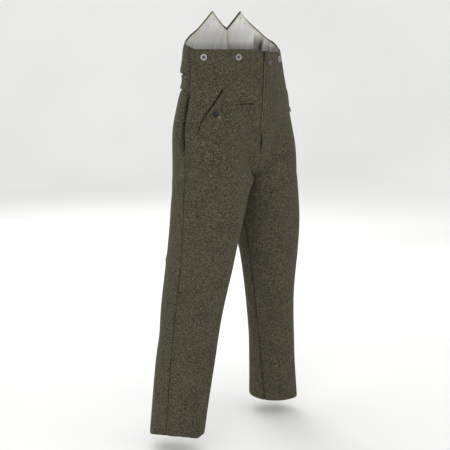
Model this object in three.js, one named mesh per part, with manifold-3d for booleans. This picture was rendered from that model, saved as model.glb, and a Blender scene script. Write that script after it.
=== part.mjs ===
// Uniform trousers of thick wool, with a high waist, a fishtail back and brace buttons.
// Millimetres, +Z up. The front faces -Y and the wearer's right is -X.
// The origin is the centre of the waist, level with the adjuster tabs.
import * as THREE from 'three';
import { mergeVertices } from 'three/addons/utils/BufferGeometryUtils.js';
import Module from 'manifold-3d';

const wasm = await Module();
wasm.setup();

// Cloth
const WOOL = 2;
const FACING = 1;
const LINING = 0.8;
const GAP = 0.3;
// The most that a wall's flat facets cut inside, or stand outside, its true curve
const FACET = 0.85;

// Heights
const HEM = -984;
const CROTCH = -254;
const HIP = -60;
const FRONT_HIP = -110;
const WAIST = 0;
const FLY_END = -150;

// Top edge of each panel, as heights at shares of its width from the fly or the centre back seam.
// At the back it rises to a fishtail of two points.
const TOP_EDGE = {
  front_right: [
    { share: 0, z: 93 },
    { share: 0.17, z: 93.5 },
    { share: 0.25, z: 98 },
    { share: 0.92, z: 99 },
    { share: 1, z: 105 },
  ],
  front_left: [
    { share: 0, z: 91 },
    { share: 0.5, z: 91 },
    { share: 0.75, z: 99 },
    { share: 0.83, z: 108 },
    { share: 1, z: 122 },
  ],
  back_right: [
    { share: 0, z: 157 },
    { share: 0.28, z: 205 },
    { share: 0.41, z: 178 },
    { share: 0.54, z: 153 },
    { share: 0.67, z: 138 },
    { share: 0.8, z: 119 },
    { share: 0.93, z: 110 },
    { share: 1, z: 105 },
  ],
  back_left: [
    { share: 0, z: 157 },
    { share: 0.33, z: 207 },
    { share: 0.45, z: 186 },
    { share: 0.62, z: 162 },
    { share: 0.8, z: 140 },
    { share: 1, z: 122 },
  ],
};

// The trunk's rings: half widths to the wearer's right, left, front and back, how far the back
// seam and the fly sit to the left, and how far the fly is tucked in between the thighs
const RINGS = [
  { z: -254, right: 200, left: 200, front: 138, back: 136, seam: 0, fly: -12, tuck: 25 },
  { z: -200, right: 205, left: 198, front: 137, back: 140, seam: 0, fly: -12, tuck: 24 },
  { z: -130, right: 203, left: 189, front: 131, back: 143, seam: 3, fly: -10, tuck: 16 },
  { z: -60, right: 188, left: 181, front: 124, back: 144, seam: 16, fly: -2, tuck: 3 },
  { z: 0, right: 175, left: 168, front: 118, back: 140, seam: 34, fly: 0, tuck: 0 },
  { z: 50, right: 172, left: 153, front: 114, back: 136, seam: 47, fly: 0, tuck: 0 },
  { z: 97, right: 177, left: 145, front: 109, back: 125, seam: 52, fly: 0, tuck: 0 },
  { z: 118, right: 172, left: 146, front: 107, back: 117, seam: 52, fly: 0, tuck: 0 },
  { z: 157, right: 158, left: 150, front: 104, back: 98, seam: 50, fly: 0, tuck: 0 },
  { z: 205, right: 148, left: 146, front: 100, back: 84, seam: 47, fly: 0, tuck: 0 },
];
// The higher the number, the nearer to the centre its shift stays
const SEAM_SHIFT_POWER = 2;
const FLY_SHIFT_POWER = 4;
const TUCK_POWER = 10;

// The legs' rings: centre, half width to the side, half depth front to back, turn in degrees,
// and the bow of the outline: 2 is an ellipse and less draws it to a crease at front and back
const RIGHT_LEG = [
  { z: -984, x: -222, y: 12, half: 55, deep: 83, turn: 26, bow: 1.55 },
  { z: -800, x: -191, y: 15, half: 65, deep: 90, turn: 19, bow: 1.65 },
  { z: -640, x: -164, y: 12, half: 70, deep: 98, turn: 13, bow: 1.75 },
  { z: -500, x: -138, y: 3, half: 79, deep: 106, turn: 8, bow: 1.85 },
  { z: -380, x: -117, y: 0, half: 90, deep: 112, turn: 4, bow: 1.92 },
  { z: -280, x: -101, y: 0, half: 97, deep: 118, turn: 1, bow: 2 },
  { z: -254, x: -97, y: 0, half: 97, deep: 120, turn: 0, bow: 2 },
];
const LEFT_LEG = [
  { z: -984, x: 202, y: 30, half: 62, deep: 78, turn: 29, bow: 1.55 },
  { z: -800, x: 184, y: 22, half: 76, deep: 73, turn: 21, bow: 1.65 },
  { z: -640, x: 164, y: 13, half: 83, deep: 75, turn: 15, bow: 1.75 },
  { z: -500, x: 147, y: 4, half: 92, deep: 88, turn: 9, bow: 1.85 },
  { z: -380, x: 126, y: 0, half: 94, deep: 108, turn: 4, bow: 1.92 },
  { z: -280, x: 105, y: 0, half: 97, deep: 119, turn: 1, bow: 2 },
  { z: -254, x: 99, y: 0, half: 99, deep: 120, turn: 0, bow: 2 },
];
const SEAM_FOLLOWS_TURN = 0.3;
// Roundness of the seat seam's curve up from the crotch, behind and in front
const CROTCH_ROUNDNESS = 0.82;
const FRONT_SEAM_ROUND = 3.5;
// Share of a panel's width that the seat seam's curve pulls in
const CROTCH_REACH = 0.55;

// The largest folds: share of the panel's width from the centre or inner leg, height, half width
// and half length in mm, lean of the fold's line in mm sideways for each mm up, and rise in mm
const FOLDS = [
  { panel: 'front_right', share: 0.9, z: 50, wide: 45, long: 24, lean: 0, rise: 4 },
  { panel: 'front_right', share: 0.9, z: 10, wide: 36, long: 24, lean: 0, rise: -3 },
  { panel: 'front_right', share: 0.86, z: -60, wide: 26, long: 60, lean: 0.2, rise: 3 },
  { panel: 'front_right', share: 0.27, z: -258, wide: 40, long: 34, lean: 0, rise: 12 },
  { panel: 'front_right', share: 0.6, z: -480, wide: 28, long: 130, lean: 0.1, rise: 3 },
  { panel: 'front_right', share: 0.3, z: -330, wide: 22, long: 80, lean: -0.25, rise: 4 },
  { panel: 'front_right', share: 0.45, z: -760, wide: 24, long: 110, lean: 0.1, rise: 2.5 },
  { panel: 'front_left', share: 0.88, z: 50, wide: 45, long: 24, lean: 0, rise: 4 },
  { panel: 'front_left', share: 0.9, z: 10, wide: 36, long: 24, lean: 0, rise: -3 },
  { panel: 'front_left', share: 0.27, z: -256, wide: 38, long: 32, lean: 0, rise: 8 },
  { panel: 'front_left', share: 0.62, z: -430, wide: 26, long: 120, lean: -0.1, rise: 3 },
  { panel: 'front_left', share: 0.28, z: -320, wide: 22, long: 70, lean: 0.25, rise: 4 },
  { panel: 'front_left', share: 0.2, z: -640, wide: 20, long: 120, lean: 0.1, rise: 3 },
  { panel: 'back_right', share: 0.85, z: 52, wide: 55, long: 24, lean: 0, rise: 5 },
  { panel: 'back_right', share: 0.6, z: 10, wide: 90, long: 24, lean: 0, rise: -4 },
  { panel: 'back_right', share: 0.55, z: -300, wide: 60, long: 26, lean: 0, rise: -5 },
  { panel: 'back_right', share: 0.5, z: -520, wide: 40, long: 90, lean: 0.15, rise: 6 },
  { panel: 'back_right', share: 0.6, z: -700, wide: 36, long: 60, lean: -0.3, rise: -4 },
  { panel: 'back_left', share: 0.85, z: 54, wide: 55, long: 24, lean: 0, rise: 5 },
  { panel: 'back_left', share: 0.6, z: 10, wide: 90, long: 24, lean: 0, rise: -4 },
  { panel: 'back_left', share: 0.5, z: -310, wide: 56, long: 24, lean: 0, rise: -5 },
  { panel: 'back_left', share: 0.55, z: -500, wide: 42, long: 100, lean: -0.1, rise: 6 },
  { panel: 'back_left', share: 0.5, z: -720, wide: 34, long: 70, lean: 0.3, rise: -4 },
];

// Folds fade over this width beside a seam
const SEAM_HOLDS = 26;

// Fly: the left front laps over the right, and a facing shows past its edge.
// Both edges run out into the centre seam over FLY_RUNS_OUT.
const FLY_EDGE = [
  { z: -150, past: 0 },
  { z: -120, past: -4 },
  { z: -75, past: -10 },
  { z: 0, past: -6 },
  { z: 97, past: 4 },
];
const FLY_SHIELD = 30;
const FLY_RUNS_OUT = 50;
const FLY_LIFT = WOOL + FACING + 2 * GAP + 1.5 * FACET;
const FLY_LIFT_FADE = 40;
const LAP_PAST_SHIELD = 4;
const FACING_SHOWS = 1.4;
const FACING_WIDTH = 28;
const FACING_END = FLY_END + 20;
const FACING_BELOW_TOP = 3;

// Slanted pockets, as distance from the centre line and height, top to bottom
const SLIT = [
  { across: 135, z: -8 },
  { across: 165, z: -50 },
  { across: 194, z: -90 },
  { across: 207, z: -121 },
];
const SLIT_TOP_WIDTH = 3.2;
const SLIT_END_WIDTH = 1.4;
const POCKET_FACING_HALF = 15;
const POCKET_FACING_PAST_END = 8;
const POCKET_BUTTON = { across: 158, z: -75, radius: 8 };

// A straight watch pocket: its slit, the welt above it and the facing behind it
const WATCH_POCKET = { from: 41, to: 100, z: -49, slit: 2.4, welt: 5 };
const WATCH_FACING = { beside: 5, below: 16, above: 9 };
const WELT_BESIDE = 1;

// Cotton inside the waist, a little below the wool's turned edge
const LINING_BELOW_EDGE = 4;
const LINING_FRONT_END = 8;
const LINING_BACK_END = -70;
const LINING_FROM_SEAM = { front: 4, back: 2 };
const LINING_FROM_CENTRE = { right: 3 - FLY_SHIELD, left: 9 + FLY_SHIELD };

// Waist adjuster
const TAB_ROOT_HEIGHT = 42;
const TAB_END_HEIGHT = 25;
const TAB_LEVEL = 9;
const TAB_THICK = 2;
const TAB_TIP = 0.8;
const TAB_FROM_SEAM = 2;
const TAB_PAST_CENTRE = 8;
const TAB_TAIL = 58;
const TAB_CLEAR_OF_BUCKLE = 14;
const TAB_CLIMBS_OVER = 34;
const TAB_DROPS_OVER = 16;
const BUCKLE = { width: 36, height: 38, bar: 3.2, thick: 1.6, stands: 1.6, corner: 4 };

// Buttons
const SHANK_RADIUS = 2.2;
const BRACE_BUTTON = { radius: 8.5, dish: 6.2, rim: 3, floor: 1.8, shank: 0.8 };
const SMALL_BUTTON = { dishShare: 0.68, rim: 2.6, floor: 1.7, shank: 0.8 };
// Two brace buttons on each front, and on each back two by the point and one near the side
const BRACE_AT = [
  { panel: 'front_right', across: 87, z: 77 },
  { panel: 'front_right', across: 182, z: 77 },
  { panel: 'front_left', across: 78, z: 70 },
  { panel: 'front_left', across: 164, z: 78 },
  { panel: 'back_right', across: 59, z: 184 },
  { panel: 'back_right', across: 79, z: 163 },
  { panel: 'back_right', across: 178, z: 112 },
  { panel: 'back_left', across: 52, z: 187 },
  { panel: 'back_left', across: 69, z: 172 },
  { panel: 'back_left', across: 152, z: 112 },
];
const FLY_BUTTON = { across: 14, z: 61, radius: 6.5 };

// Even fineness of the walls
const COLUMNS = 12;
const LEG_ROWS = 15;
const CROTCH_ROWS = 11;
const HIP_ROWS = 4;
const TOP_ROWS = 7;
const CURVE_STEPS = 64;
const LEG_ROWS_BUNCH = 0.9;
const CROTCH_ROWS_BUNCH = 1.5;

const COLOURS = {
  wool: 0x4f4b3e,
  lining: 0xd6d3c8,
  facing: 0x5e4a32,
  zinc: 0x9aa0a2,
  paint: 0x1d2a33,
  steel: 0x7f878b,
};

// A table's column at height z, by a smooth curve through its rows
function read(table, column, z) {
  const n = table.length;
  if (z <= table[0].z) return table[0][column];
  if (z >= table[n - 1].z) return table[n - 1][column];
  let i = 0;
  while (z > table[i + 1].z) i += 1;
  const slope = (a, b) => (table[b][column] - table[a][column]) / (table[b].z - table[a].z);
  const here = slope(i, i + 1);
  const before = i > 0 ? (slope(i - 1, i) + here) / 2 : here;
  const after = i < n - 2 ? (here + slope(i + 1, i + 2)) / 2 : here;
  const span = table[i + 1].z - table[i].z;
  const t = (z - table[i].z) / span;
  const a = table[i][column];
  const b = table[i + 1][column];
  return a * (1 - t) ** 2 * (1 + 2 * t) + b * t * t * (3 - 2 * t)
    + span * (before * t * (1 - t) ** 2 - after * t * t * (1 - t));
}

const mix = (a, b, t) => a + (b - a) * t;
const ease = (t) => {
  const c = Math.min(Math.max(t, 0), 1);
  return c * c * (3 - 2 * c);
};

// Evenly spaced points along a plan curve given as a function of 0 to 1
function evenly(curve, steps = CURVE_STEPS) {
  const fine = Array.from({ length: steps * 3 + 1 }, (_, i) => curve(i / (steps * 3)));
  const run = [0];
  for (let i = 1; i < fine.length; i += 1) run.push(run[i - 1] + fine[i].distanceTo(fine[i - 1]));
  const total = run[run.length - 1];
  const points = [];
  let k = 0;
  for (let i = 0; i <= steps; i += 1) {
    const want = total * i / steps;
    while (k < run.length - 2 && run[k + 1] < want) k += 1;
    points.push(fine[k].clone().lerp(fine[k + 1], (want - run[k]) / (run[k + 1] - run[k])));
  }
  return points;
}

// Half of a leg's ring, from the inner leg seam to the side seam
function legHalf(right, front, z) {
  const leg = right ? RIGHT_LEG : LEFT_LEG;
  const names = ['x', 'y', 'half', 'deep', 'turn', 'bow'];
  const [x, y, half, deep, turn, bow] = names.map((name) => read(leg, name, z));
  const turned = turn * Math.PI / 180;
  const start = (right ? 0 : Math.PI) - SEAM_FOLLOWS_TURN * turned;
  const way = right === front ? -1 : 1;
  return evenly((s) => {
    const angle = start + way * Math.PI * s;
    const c = Math.cos(angle);
    const px = half * Math.sign(c) * Math.abs(c) ** (2 / bow);
    const py = deep * Math.sin(angle);
    return new THREE.Vector2(
      x + px * Math.cos(turned) - py * Math.sin(turned),
      y + px * Math.sin(turned) + py * Math.cos(turned),
    );
  });
}

// A quarter of the trunk's ring, from the centre seam to the side seam
function trunkQuarter(right, front, z) {
  const names = ['right', 'left', 'front', 'back', 'seam', 'fly', 'tuck'];
  const [toRight, toLeft, ahead, behind, seam, fly, tuck] = names.map((name) => read(RINGS, name, z));
  return evenly((s) => {
    const c = Math.cos(s * Math.PI / 2);
    const x = (right ? -toRight : toLeft) * Math.sin(s * Math.PI / 2);
    if (!front) return new THREE.Vector2(x + seam * c ** SEAM_SHIFT_POWER, behind * c);
    return new THREE.Vector2(x + fly * c ** FLY_SHIFT_POWER, tuck * c ** TUCK_POWER - ahead * c);
  });
}

// How far the seat seam has come from the crotch towards the trunk's ring
function seamShare(front, z) {
  const t = Math.min(Math.max((z - CROTCH) / ((front ? FRONT_HIP : HIP) - CROTCH), 0), 1);
  if (front) return (1 - (1 - t) ** FRONT_SEAM_ROUND) ** (1 / FRONT_SEAM_ROUND);
  return t ** CROTCH_ROUNDNESS * (1 + CROTCH_ROUNDNESS * (1 - t));
}

// The plan curve of a panel at one height: the leg's half ring below the crotch, the trunk's
// quarter ring above the hip, and between them one passing into the other
const curves = new Map();
function planCurve(panel, z) {
  const key = `${panel} ${z.toFixed(3)}`;
  if (!curves.has(key)) {
    const right = panel.endsWith('right');
    const front = panel.startsWith('front');
    const side = ease((z - CROTCH) / (HIP - CROTCH));
    const centre = seamShare(front, z);
    let points;
    if (z <= CROTCH) points = legHalf(right, front, z);
    else if (z >= HIP) points = trunkQuarter(right, front, z);
    else {
      const leg = legHalf(right, front, CROTCH);
      points = trunkQuarter(right, front, z).map((p, i) => (
        leg[i].clone().lerp(p, mix(centre, side, ease(i / CURVE_STEPS / CROTCH_REACH)))
      ));
    }
    const run = [0];
    for (let i = 1; i < points.length; i += 1) run.push(run[i - 1] + points[i].distanceTo(points[i - 1]));
    curves.set(key, { points, run, length: run[run.length - 1] });
  }
  return curves.get(key);
}

function planPoint(panel, across, z) {
  const past = across < 0;
  const other = panel.endsWith('right') ? panel.replace('right', 'left') : panel.replace('left', 'right');
  const { points, run } = planCurve(past ? other : panel, z);
  const want = Math.abs(across);
  let k = 0;
  while (k < run.length - 2 && run[k + 1] < want) k += 1;
  return points[k].clone().lerp(points[k + 1], (want - run[k]) / (run[k + 1] - run[k]));
}

// How far the cloth stands out from its plain ring
function rise(panel, across, z) {
  const { length } = planCurve(panel, z);
  let out = 0;
  for (const f of FOLDS) {
    if (f.panel !== panel) continue;
    const off = across - f.share * length - f.lean * (z - f.z);
    out += f.rise * Math.exp(-((off / f.wide) ** 2) - ((z - f.z) / f.long) ** 2);
  }
  const fade = ease(Math.min(across, length - across) / SEAM_HOLDS);
  if (panel !== 'front_left' || z <= FLY_END - FLY_RUNS_OUT) return out * fade;
  const overShield = ease((FLY_SHIELD + LAP_PAST_SHIELD + FLY_LIFT_FADE - across) / FLY_LIFT_FADE);
  return out * fade + FLY_LIFT * overShield * ease((z - FLY_END + FLY_RUNS_OUT) / FLY_RUNS_OUT);
}

// A point on the outside of a panel, `across` mm from its centre or inner leg seam
function bare(panel, across, z) {
  const p = planPoint(panel, across, z);
  const a = planPoint(panel, across - 0.5, z);
  const b = planPoint(panel, across + 0.5, z);
  const clockwise = (panel === 'front_right' || panel === 'back_left') ? 1 : -1;
  const out = new THREE.Vector2(b.y - a.y, a.x - b.x).normalize().multiplyScalar(-clockwise);
  p.addScaledVector(out, rise(panel, across, z));
  return new THREE.Vector3(p.x + (panel.endsWith('right') ? -GAP / 2 : GAP / 2), p.y, z);
}

function surface(panel, across, z, moved = 0) {
  const p = bare(panel, across, z);
  if (moved === 0) return p;
  const { length } = planCurve(panel, z);
  const lo = Math.max(across - 1, across < 0 ? across - 1 : 0);
  const hi = Math.min(across + 1, length);
  const along = bare(panel, hi, z).sub(bare(panel, lo, z));
  const up = bare(panel, across, z + 1).sub(bare(panel, across, Math.max(z - 1, HEM)));
  const normal = along.cross(up).normalize();
  const flip = (panel === 'front_right' || panel === 'back_left') ? -1 : 1;
  return p.addScaledVector(normal, moved * flip);
}

// A closed sheet between two grids of points
function sheet(columns, rows, outer, inner) {
  const grid = [];
  for (const side of [outer, inner]) {
    for (let j = 0; j <= rows; j += 1) {
      for (let i = 0; i <= columns; i += 1) grid.push(side(i / columns, j / rows));
    }
  }
  const step = columns + 1;
  const layer = step * (rows + 1);
  const at = (i, j, k) => k * layer + j * step + i;
  const index = [];
  const quad = (a, b, c, d) => index.push(a, b, c, a, c, d);
  for (let j = 0; j < rows; j += 1) {
    for (let i = 0; i < columns; i += 1) {
      quad(at(i, j, 0), at(i + 1, j, 0), at(i + 1, j + 1, 0), at(i, j + 1, 0));
      quad(at(i, j, 1), at(i, j + 1, 1), at(i + 1, j + 1, 1), at(i + 1, j, 1));
    }
  }
  for (let i = 0; i < columns; i += 1) {
    quad(at(i, 0, 0), at(i, 0, 1), at(i + 1, 0, 1), at(i + 1, 0, 0));
    quad(at(i, rows, 0), at(i + 1, rows, 0), at(i + 1, rows, 1), at(i, rows, 1));
  }
  for (let j = 0; j < rows; j += 1) {
    quad(at(0, j, 0), at(0, j + 1, 0), at(0, j + 1, 1), at(0, j, 1));
    quad(at(columns, j, 0), at(columns, j, 1), at(columns, j + 1, 1), at(columns, j + 1, 0));
  }
  const geometry = new THREE.BufferGeometry();
  const numbers = grid.flatMap((p) => [p.x, p.y, p.z]);
  geometry.setAttribute('position', new THREE.Float32BufferAttribute(numbers, 3));
  geometry.setIndex(index);
  return facingOut(geometry);
}

function facingOut(geometry) {
  const p = geometry.attributes.position;
  const order = geometry.index.array;
  const [a, b, c] = [new THREE.Vector3(), new THREE.Vector3(), new THREE.Vector3()];
  let volume = 0;
  for (let i = 0; i < order.length; i += 3) {
    a.fromBufferAttribute(p, order[i]);
    b.fromBufferAttribute(p, order[i + 1]);
    c.fromBufferAttribute(p, order[i + 2]);
    volume += a.dot(b.cross(c));
  }
  if (volume < 0) {
    for (let i = 0; i < order.length; i += 3) [order[i], order[i + 1]] = [order[i + 1], order[i]];
  }
  return geometry;
}

function solid(geometry) {
  const bareShape = geometry.clone();
  bareShape.deleteAttribute('normal');
  bareShape.deleteAttribute('uv');
  const merged = mergeVertices(bareShape, 1e-4);
  return new wasm.Manifold(new wasm.Mesh({
    numProp: 3,
    vertProperties: new Float32Array(merged.attributes.position.array),
    triVerts: new Uint32Array(merged.index.array),
  }));
}

function fromSolid(shape) {
  const { vertProperties, triVerts } = shape.getMesh();
  const geometry = new THREE.BufferGeometry();
  geometry.setAttribute('position', new THREE.BufferAttribute(new Float32Array(vertProperties), 3));
  geometry.setIndex(new THREE.BufferAttribute(new Uint32Array(triVerts), 1));
  return geometry;
}

const trousers = new THREE.Group();
const material = (colour, roughness, metalness = 0) => new THREE.MeshStandardMaterial({
  color: colour, roughness, metalness, side: THREE.FrontSide,
});
function add(name, geometry, look) {
  const mesh = new THREE.Mesh(geometry, look);
  mesh.name = name;
  trousers.add(mesh);
  return mesh;
}
const wool = () => material(COLOURS.wool, 0.95);

// Height of a panel's top edge at a share of its width from the centre
function topEdge(panel, share) {
  const edge = TOP_EDGE[panel];
  let i = 0;
  while (i < edge.length - 2 && share > edge[i + 1].share) i += 1;
  const [a, b] = [edge[i], edge[i + 1]];
  return mix(a.z, b.z, (share - a.share) / (b.share - a.share));
}

// The panel's inner edge: its centre or inner leg seam, or at the fly past the centre line
function innerEdge(panel, z) {
  if (z > FLY_END && panel === 'front_left') return read(FLY_EDGE, 'past', z);
  if (z > FLY_END && panel === 'front_right') return -FLY_SHIELD * ease((z - FLY_END) / FLY_RUNS_OUT);
  return z < CROTCH + 0.01 ? GAP / 2 : 0;
}

// Heights of a panel's rows at a share of its width
function rowHeights(panel, share) {
  const rows = [];
  for (let j = 0; j < LEG_ROWS; j += 1) rows.push(mix(HEM, CROTCH, (j / LEG_ROWS) ** LEG_ROWS_BUNCH));
  for (let j = 0; j < CROTCH_ROWS; j += 1) {
    rows.push(mix(CROTCH, HIP, (j / CROTCH_ROWS) ** CROTCH_ROWS_BUNCH));
  }
  for (let j = 0; j < HIP_ROWS; j += 1) rows.push(mix(HIP, WAIST, j / HIP_ROWS));
  for (let j = 0; j <= TOP_ROWS; j += 1) rows.push(mix(WAIST, topEdge(panel, share), j / TOP_ROWS));
  return rows;
}

// Where a panel's columns stand: a quarter of them up to the fishtail's point and the rest past it
const POINT_COLUMN = COLUMNS / 4;
function columnShare(panel, u) {
  if (panel.startsWith('front')) return u;
  const point = TOP_EDGE[panel][1].share;
  const column = u * COLUMNS;
  if (column < POINT_COLUMN) return point * column / POINT_COLUMN;
  return mix(point, 1, (column - POINT_COLUMN) / (COLUMNS - POINT_COLUMN));
}

function panelWall(panel) {
  const rowCount = LEG_ROWS + CROTCH_ROWS + HIP_ROWS + TOP_ROWS;
  const place = (u, v, moved) => {
    const share = columnShare(panel, u);
    const z = rowHeights(panel, share)[Math.round(v * rowCount)];
    const { length } = planCurve(panel, z);
    const across = mix(innerEdge(panel, z), length - GAP / 2, share);
    return surface(panel, across, z, moved);
  };
  return sheet(COLUMNS, rowCount, (u, v) => place(u, v, 0), (u, v) => place(u, v, -WOOL));
}

// A patch that lies on or under a panel, from one distance across to another and between two heights
function patch(panel, from, to, low, high, near, far, columns, rows) {
  const spot = (u, v, moved) => {
    const a = typeof from === 'function' ? from(v) : from;
    const b = typeof to === 'function' ? to(v) : to;
    return surface(panel, mix(a, b, u), mix(low, high, v), moved);
  };
  return sheet(columns, rows, (u, v) => spot(u, v, far), (u, v) => spot(u, v, near));
}

// The slanted slit's line, and a strip of cloth or a cutter along it
function slitAt(t) {
  const whole = SLIT.length - 1;
  const i = Math.min(Math.floor(t * whole), whole - 1);
  const local = t * whole - i;
  return { across: mix(SLIT[i].across, SLIT[i + 1].across, local), z: mix(SLIT[i].z, SLIT[i + 1].z, local) };
}
function alongSlit(panel, halfTop, halfEnd, over, near, far, columns) {
  const first = SLIT[0];
  const last = SLIT[SLIT.length - 1];
  const run = Math.hypot(last.across - first.across, last.z - first.z);
  const side = { across: -(last.z - first.z) / run, z: (last.across - first.across) / run };
  const spot = (u, v, moved) => {
    const t = mix(-over / run, 1 + over / run, u);
    const line = slitAt(Math.min(Math.max(t, 0), 1));
    const past = (t - Math.min(Math.max(t, 0), 1)) * run;
    const half = mix(halfTop, halfEnd, u) * mix(-1, 1, v);
    return surface(
      panel,
      line.across + side.across * half + past * (last.across - first.across) / run,
      line.z + side.z * half + past * (last.z - first.z) / run,
      moved,
    );
  };
  return sheet(columns, 2, (u, v) => spot(u, v, far), (u, v) => spot(u, v, near));
}

// Four panels, with the slanted slits and the watch pocket's slit cut through
const CUT_DEPTH = 7;
for (const panel of ['front_right', 'front_left', 'back_right', 'back_left']) {
  let wall = solid(panelWall(panel));
  if (panel.startsWith('front')) {
    const cutter = alongSlit(panel, SLIT_TOP_WIDTH / 2, SLIT_END_WIDTH / 2, 0, -CUT_DEPTH, CUT_DEPTH, 9);
    wall = wall.subtract(solid(cutter));
  }
  if (panel === 'front_right') {
    const { from, to, z, slit } = WATCH_POCKET;
    const cutter = patch(panel, from, to, z - slit / 2, z + slit / 2, -CUT_DEPTH, CUT_DEPTH, 6, 1);
    wall = wall.subtract(solid(cutter));
  }
  add(panel, fromSolid(wall), wool());
}

const UNDER = -WOOL - GAP - FACET;

for (const side of ['right', 'left']) {
  const half = POCKET_FACING_HALF;
  const past = POCKET_FACING_PAST_END;
  const facing = alongSlit(`front_${side}`, half, half, past, UNDER - FACING, UNDER, 9);
  add(`pocket_facing_${side}`, facing, wool());
}

function watchPocket() {
  const { from, to, z, slit, welt } = WATCH_POCKET;
  const { beside, below, above } = WATCH_FACING;
  const facing = patch(
    'front_right', from - beside, to + beside, z - below, z + above, UNDER - FACING, UNDER, 7, 2,
  );
  const bottom = z + slit / 2 + GAP;
  const strip = patch(
    'front_right', from - WELT_BESIDE, to + WELT_BESIDE, bottom, bottom + welt, GAP, GAP + FACING, 7, 1,
  );
  add('watch_pocket_facing', facing, wool());
  add('watch_pocket_welt', strip, wool());
}
watchPocket();

function flyFacing() {
  const top = topEdge('front_left', 0) - FACING_BELOW_TOP;
  const edge = (v) => read(FLY_EDGE, 'past', mix(FACING_END, top, v));
  const from = (v) => edge(v) - FACING_SHOWS;
  const to = (v) => edge(v) + FACING_WIDTH;
  return patch('front_left', from, to, FACING_END, top, UNDER - FACING, UNDER, 3, 14);
}
add('fly_facing', flyFacing(), material(COLOURS.facing, 0.9));

// A lining from one distance across to a margin short of the side seam, under the panel's top edge
function lining(panel, from, margin, low, rows) {
  const spot = (u, v, moved) => {
    const { length } = planCurve(panel, WAIST);
    const share = mix(Math.max(from, 0) / length, 1, columnShare(panel, u));
    const z = mix(low, topEdge(panel, share) - LINING_BELOW_EDGE, v);
    const across = mix(from, planCurve(panel, z).length - margin, columnShare(panel, u));
    return surface(panel, across, z, moved);
  };
  return sheet(COLUMNS, rows, (u, v) => spot(u, v, UNDER), (u, v) => spot(u, v, UNDER - LINING));
}
for (const side of ['right', 'left']) {
  const { front, back } = LINING_FROM_SEAM;
  const frontGeometry = lining(`front_${side}`, LINING_FROM_CENTRE[side], front, LINING_FRONT_END, 7);
  const backGeometry = lining(`back_${side}`, back, back, LINING_BACK_END, 12);
  add(`lining_front_${side}`, frontGeometry, material(COLOURS.lining, 0.9));
  add(`lining_back_${side}`, backGeometry, material(COLOURS.lining, 0.9));
}

// Waist adjuster: two tabs from the side seams to a buckle at the centre of the back
const ON = 2 * GAP + FACET;
function tab(side, endAcross, offset) {
  const panel = `back_${side}`;
  const spot = (u, v, moved) => {
    const half = mix(TAB_END_HEIGHT, TAB_ROOT_HEIGHT, u) / 2 * (u === 0 ? TAB_TIP : 1);
    const z = TAB_LEVEL + half * mix(-1, 1, v);
    const across = mix(endAcross, planCurve(panel, z).length - TAB_FROM_SEAM, u);
    return surface(panel, across, z, moved + offset(across));
  };
  return sheet(16, 3, (u, v) => spot(u, v, ON + TAB_THICK), (u, v) => spot(u, v, ON));
}
const overBuckle = TAB_THICK + BUCKLE.thick + 2 * GAP + BUCKLE.stands;
const tabRise = (across) => {
  const clear = BUCKLE.width / 2 + TAB_CLEAR_OF_BUCKLE;
  if (across > clear) return overBuckle * ease((clear + TAB_CLIMBS_OVER - across) / TAB_CLIMBS_OVER);
  if (across > -clear) return overBuckle;
  return mix(overBuckle, TAB_THICK + GAP, ease((-clear - across) / TAB_DROPS_OVER));
};
add('adjuster_tab_left', tab('left', -TAB_PAST_CENTRE, () => 0), wool());
add('adjuster_tab_right', tab('right', -TAB_TAIL, tabRise), wool());

function buckleGeometry() {
  const { width, height, bar, thick, corner } = BUCKLE;
  const outline = new THREE.Shape();
  const w = width / 2;
  const h = height / 2;
  const turns = [
    { x: 1, y: -1, start: -0.5 },
    { x: 1, y: 1, start: 0 },
    { x: -1, y: 1, start: 0.5 },
    { x: -1, y: -1, start: 1 },
  ];
  const points = turns.flatMap(({ x, y, start }) => [0, 1, 2, 3].map((k) => {
    const angle = (start + k / 6) * Math.PI;
    return new THREE.Vector2(
      x * (w - corner) + corner * Math.cos(angle),
      y * (h - corner) + corner * Math.sin(angle),
    );
  }));
  outline.setFromPoints(points);
  let frame = solid(new THREE.ExtrudeGeometry(outline, { depth: thick, bevelEnabled: false }));
  for (const side of [-1, 1]) {
    const near = bar / 2;
    const far = w - bar;
    const hole = new THREE.BoxGeometry(far - near, height - 2 * bar, 4 * thick);
    hole.translate(side * (near + far) / 2, 0, 0);
    frame = frame.subtract(solid(hole));
  }
  return fromSolid(frame);
}

// Places a piece made flat at the origin, facing +Z, on a panel with its base `moved` mm out
function seat(mesh, panel, across, z, moved) {
  const base = surface(panel, across, z, moved);
  const out = surface(panel, across, z, moved + 10).sub(base).normalize();
  const side = new THREE.Vector3(0, 0, 1).cross(out).normalize();
  const up = out.clone().cross(side);
  mesh.quaternion.setFromRotationMatrix(new THREE.Matrix4().makeBasis(side, up, out));
  mesh.position.copy(base);
}
const buckle = add('adjuster_buckle', buckleGeometry(), material(COLOURS.steel, 0.4, 1));
seat(buckle, 'back_right', 0, TAB_LEVEL, ON + TAB_THICK + GAP);

// A dished metal button on a short shank of thread, with a flat rim and a flat recessed floor
function buttonGeometry({ radius, dish, rim, floor, shank }) {
  const profile = [
    [0, 0],
    [SHANK_RADIUS, 0],
    [SHANK_RADIUS, shank],
    [radius - 1, shank],
    [radius, shank + 0.9],
    [radius - 0.6, rim],
    [dish + 0.5, rim],
    [dish, floor],
    [0, floor],
  ].map(([x, y]) => new THREE.Vector2(x, y));
  const geometry = new THREE.LatheGeometry(profile, 14);
  geometry.rotateX(Math.PI / 2);
  return facingOut(mergeClean(geometry));
}
function mergeClean(geometry) {
  geometry.deleteAttribute('normal');
  geometry.deleteAttribute('uv');
  return mergeVertices(geometry, 1e-4);
}

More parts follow.
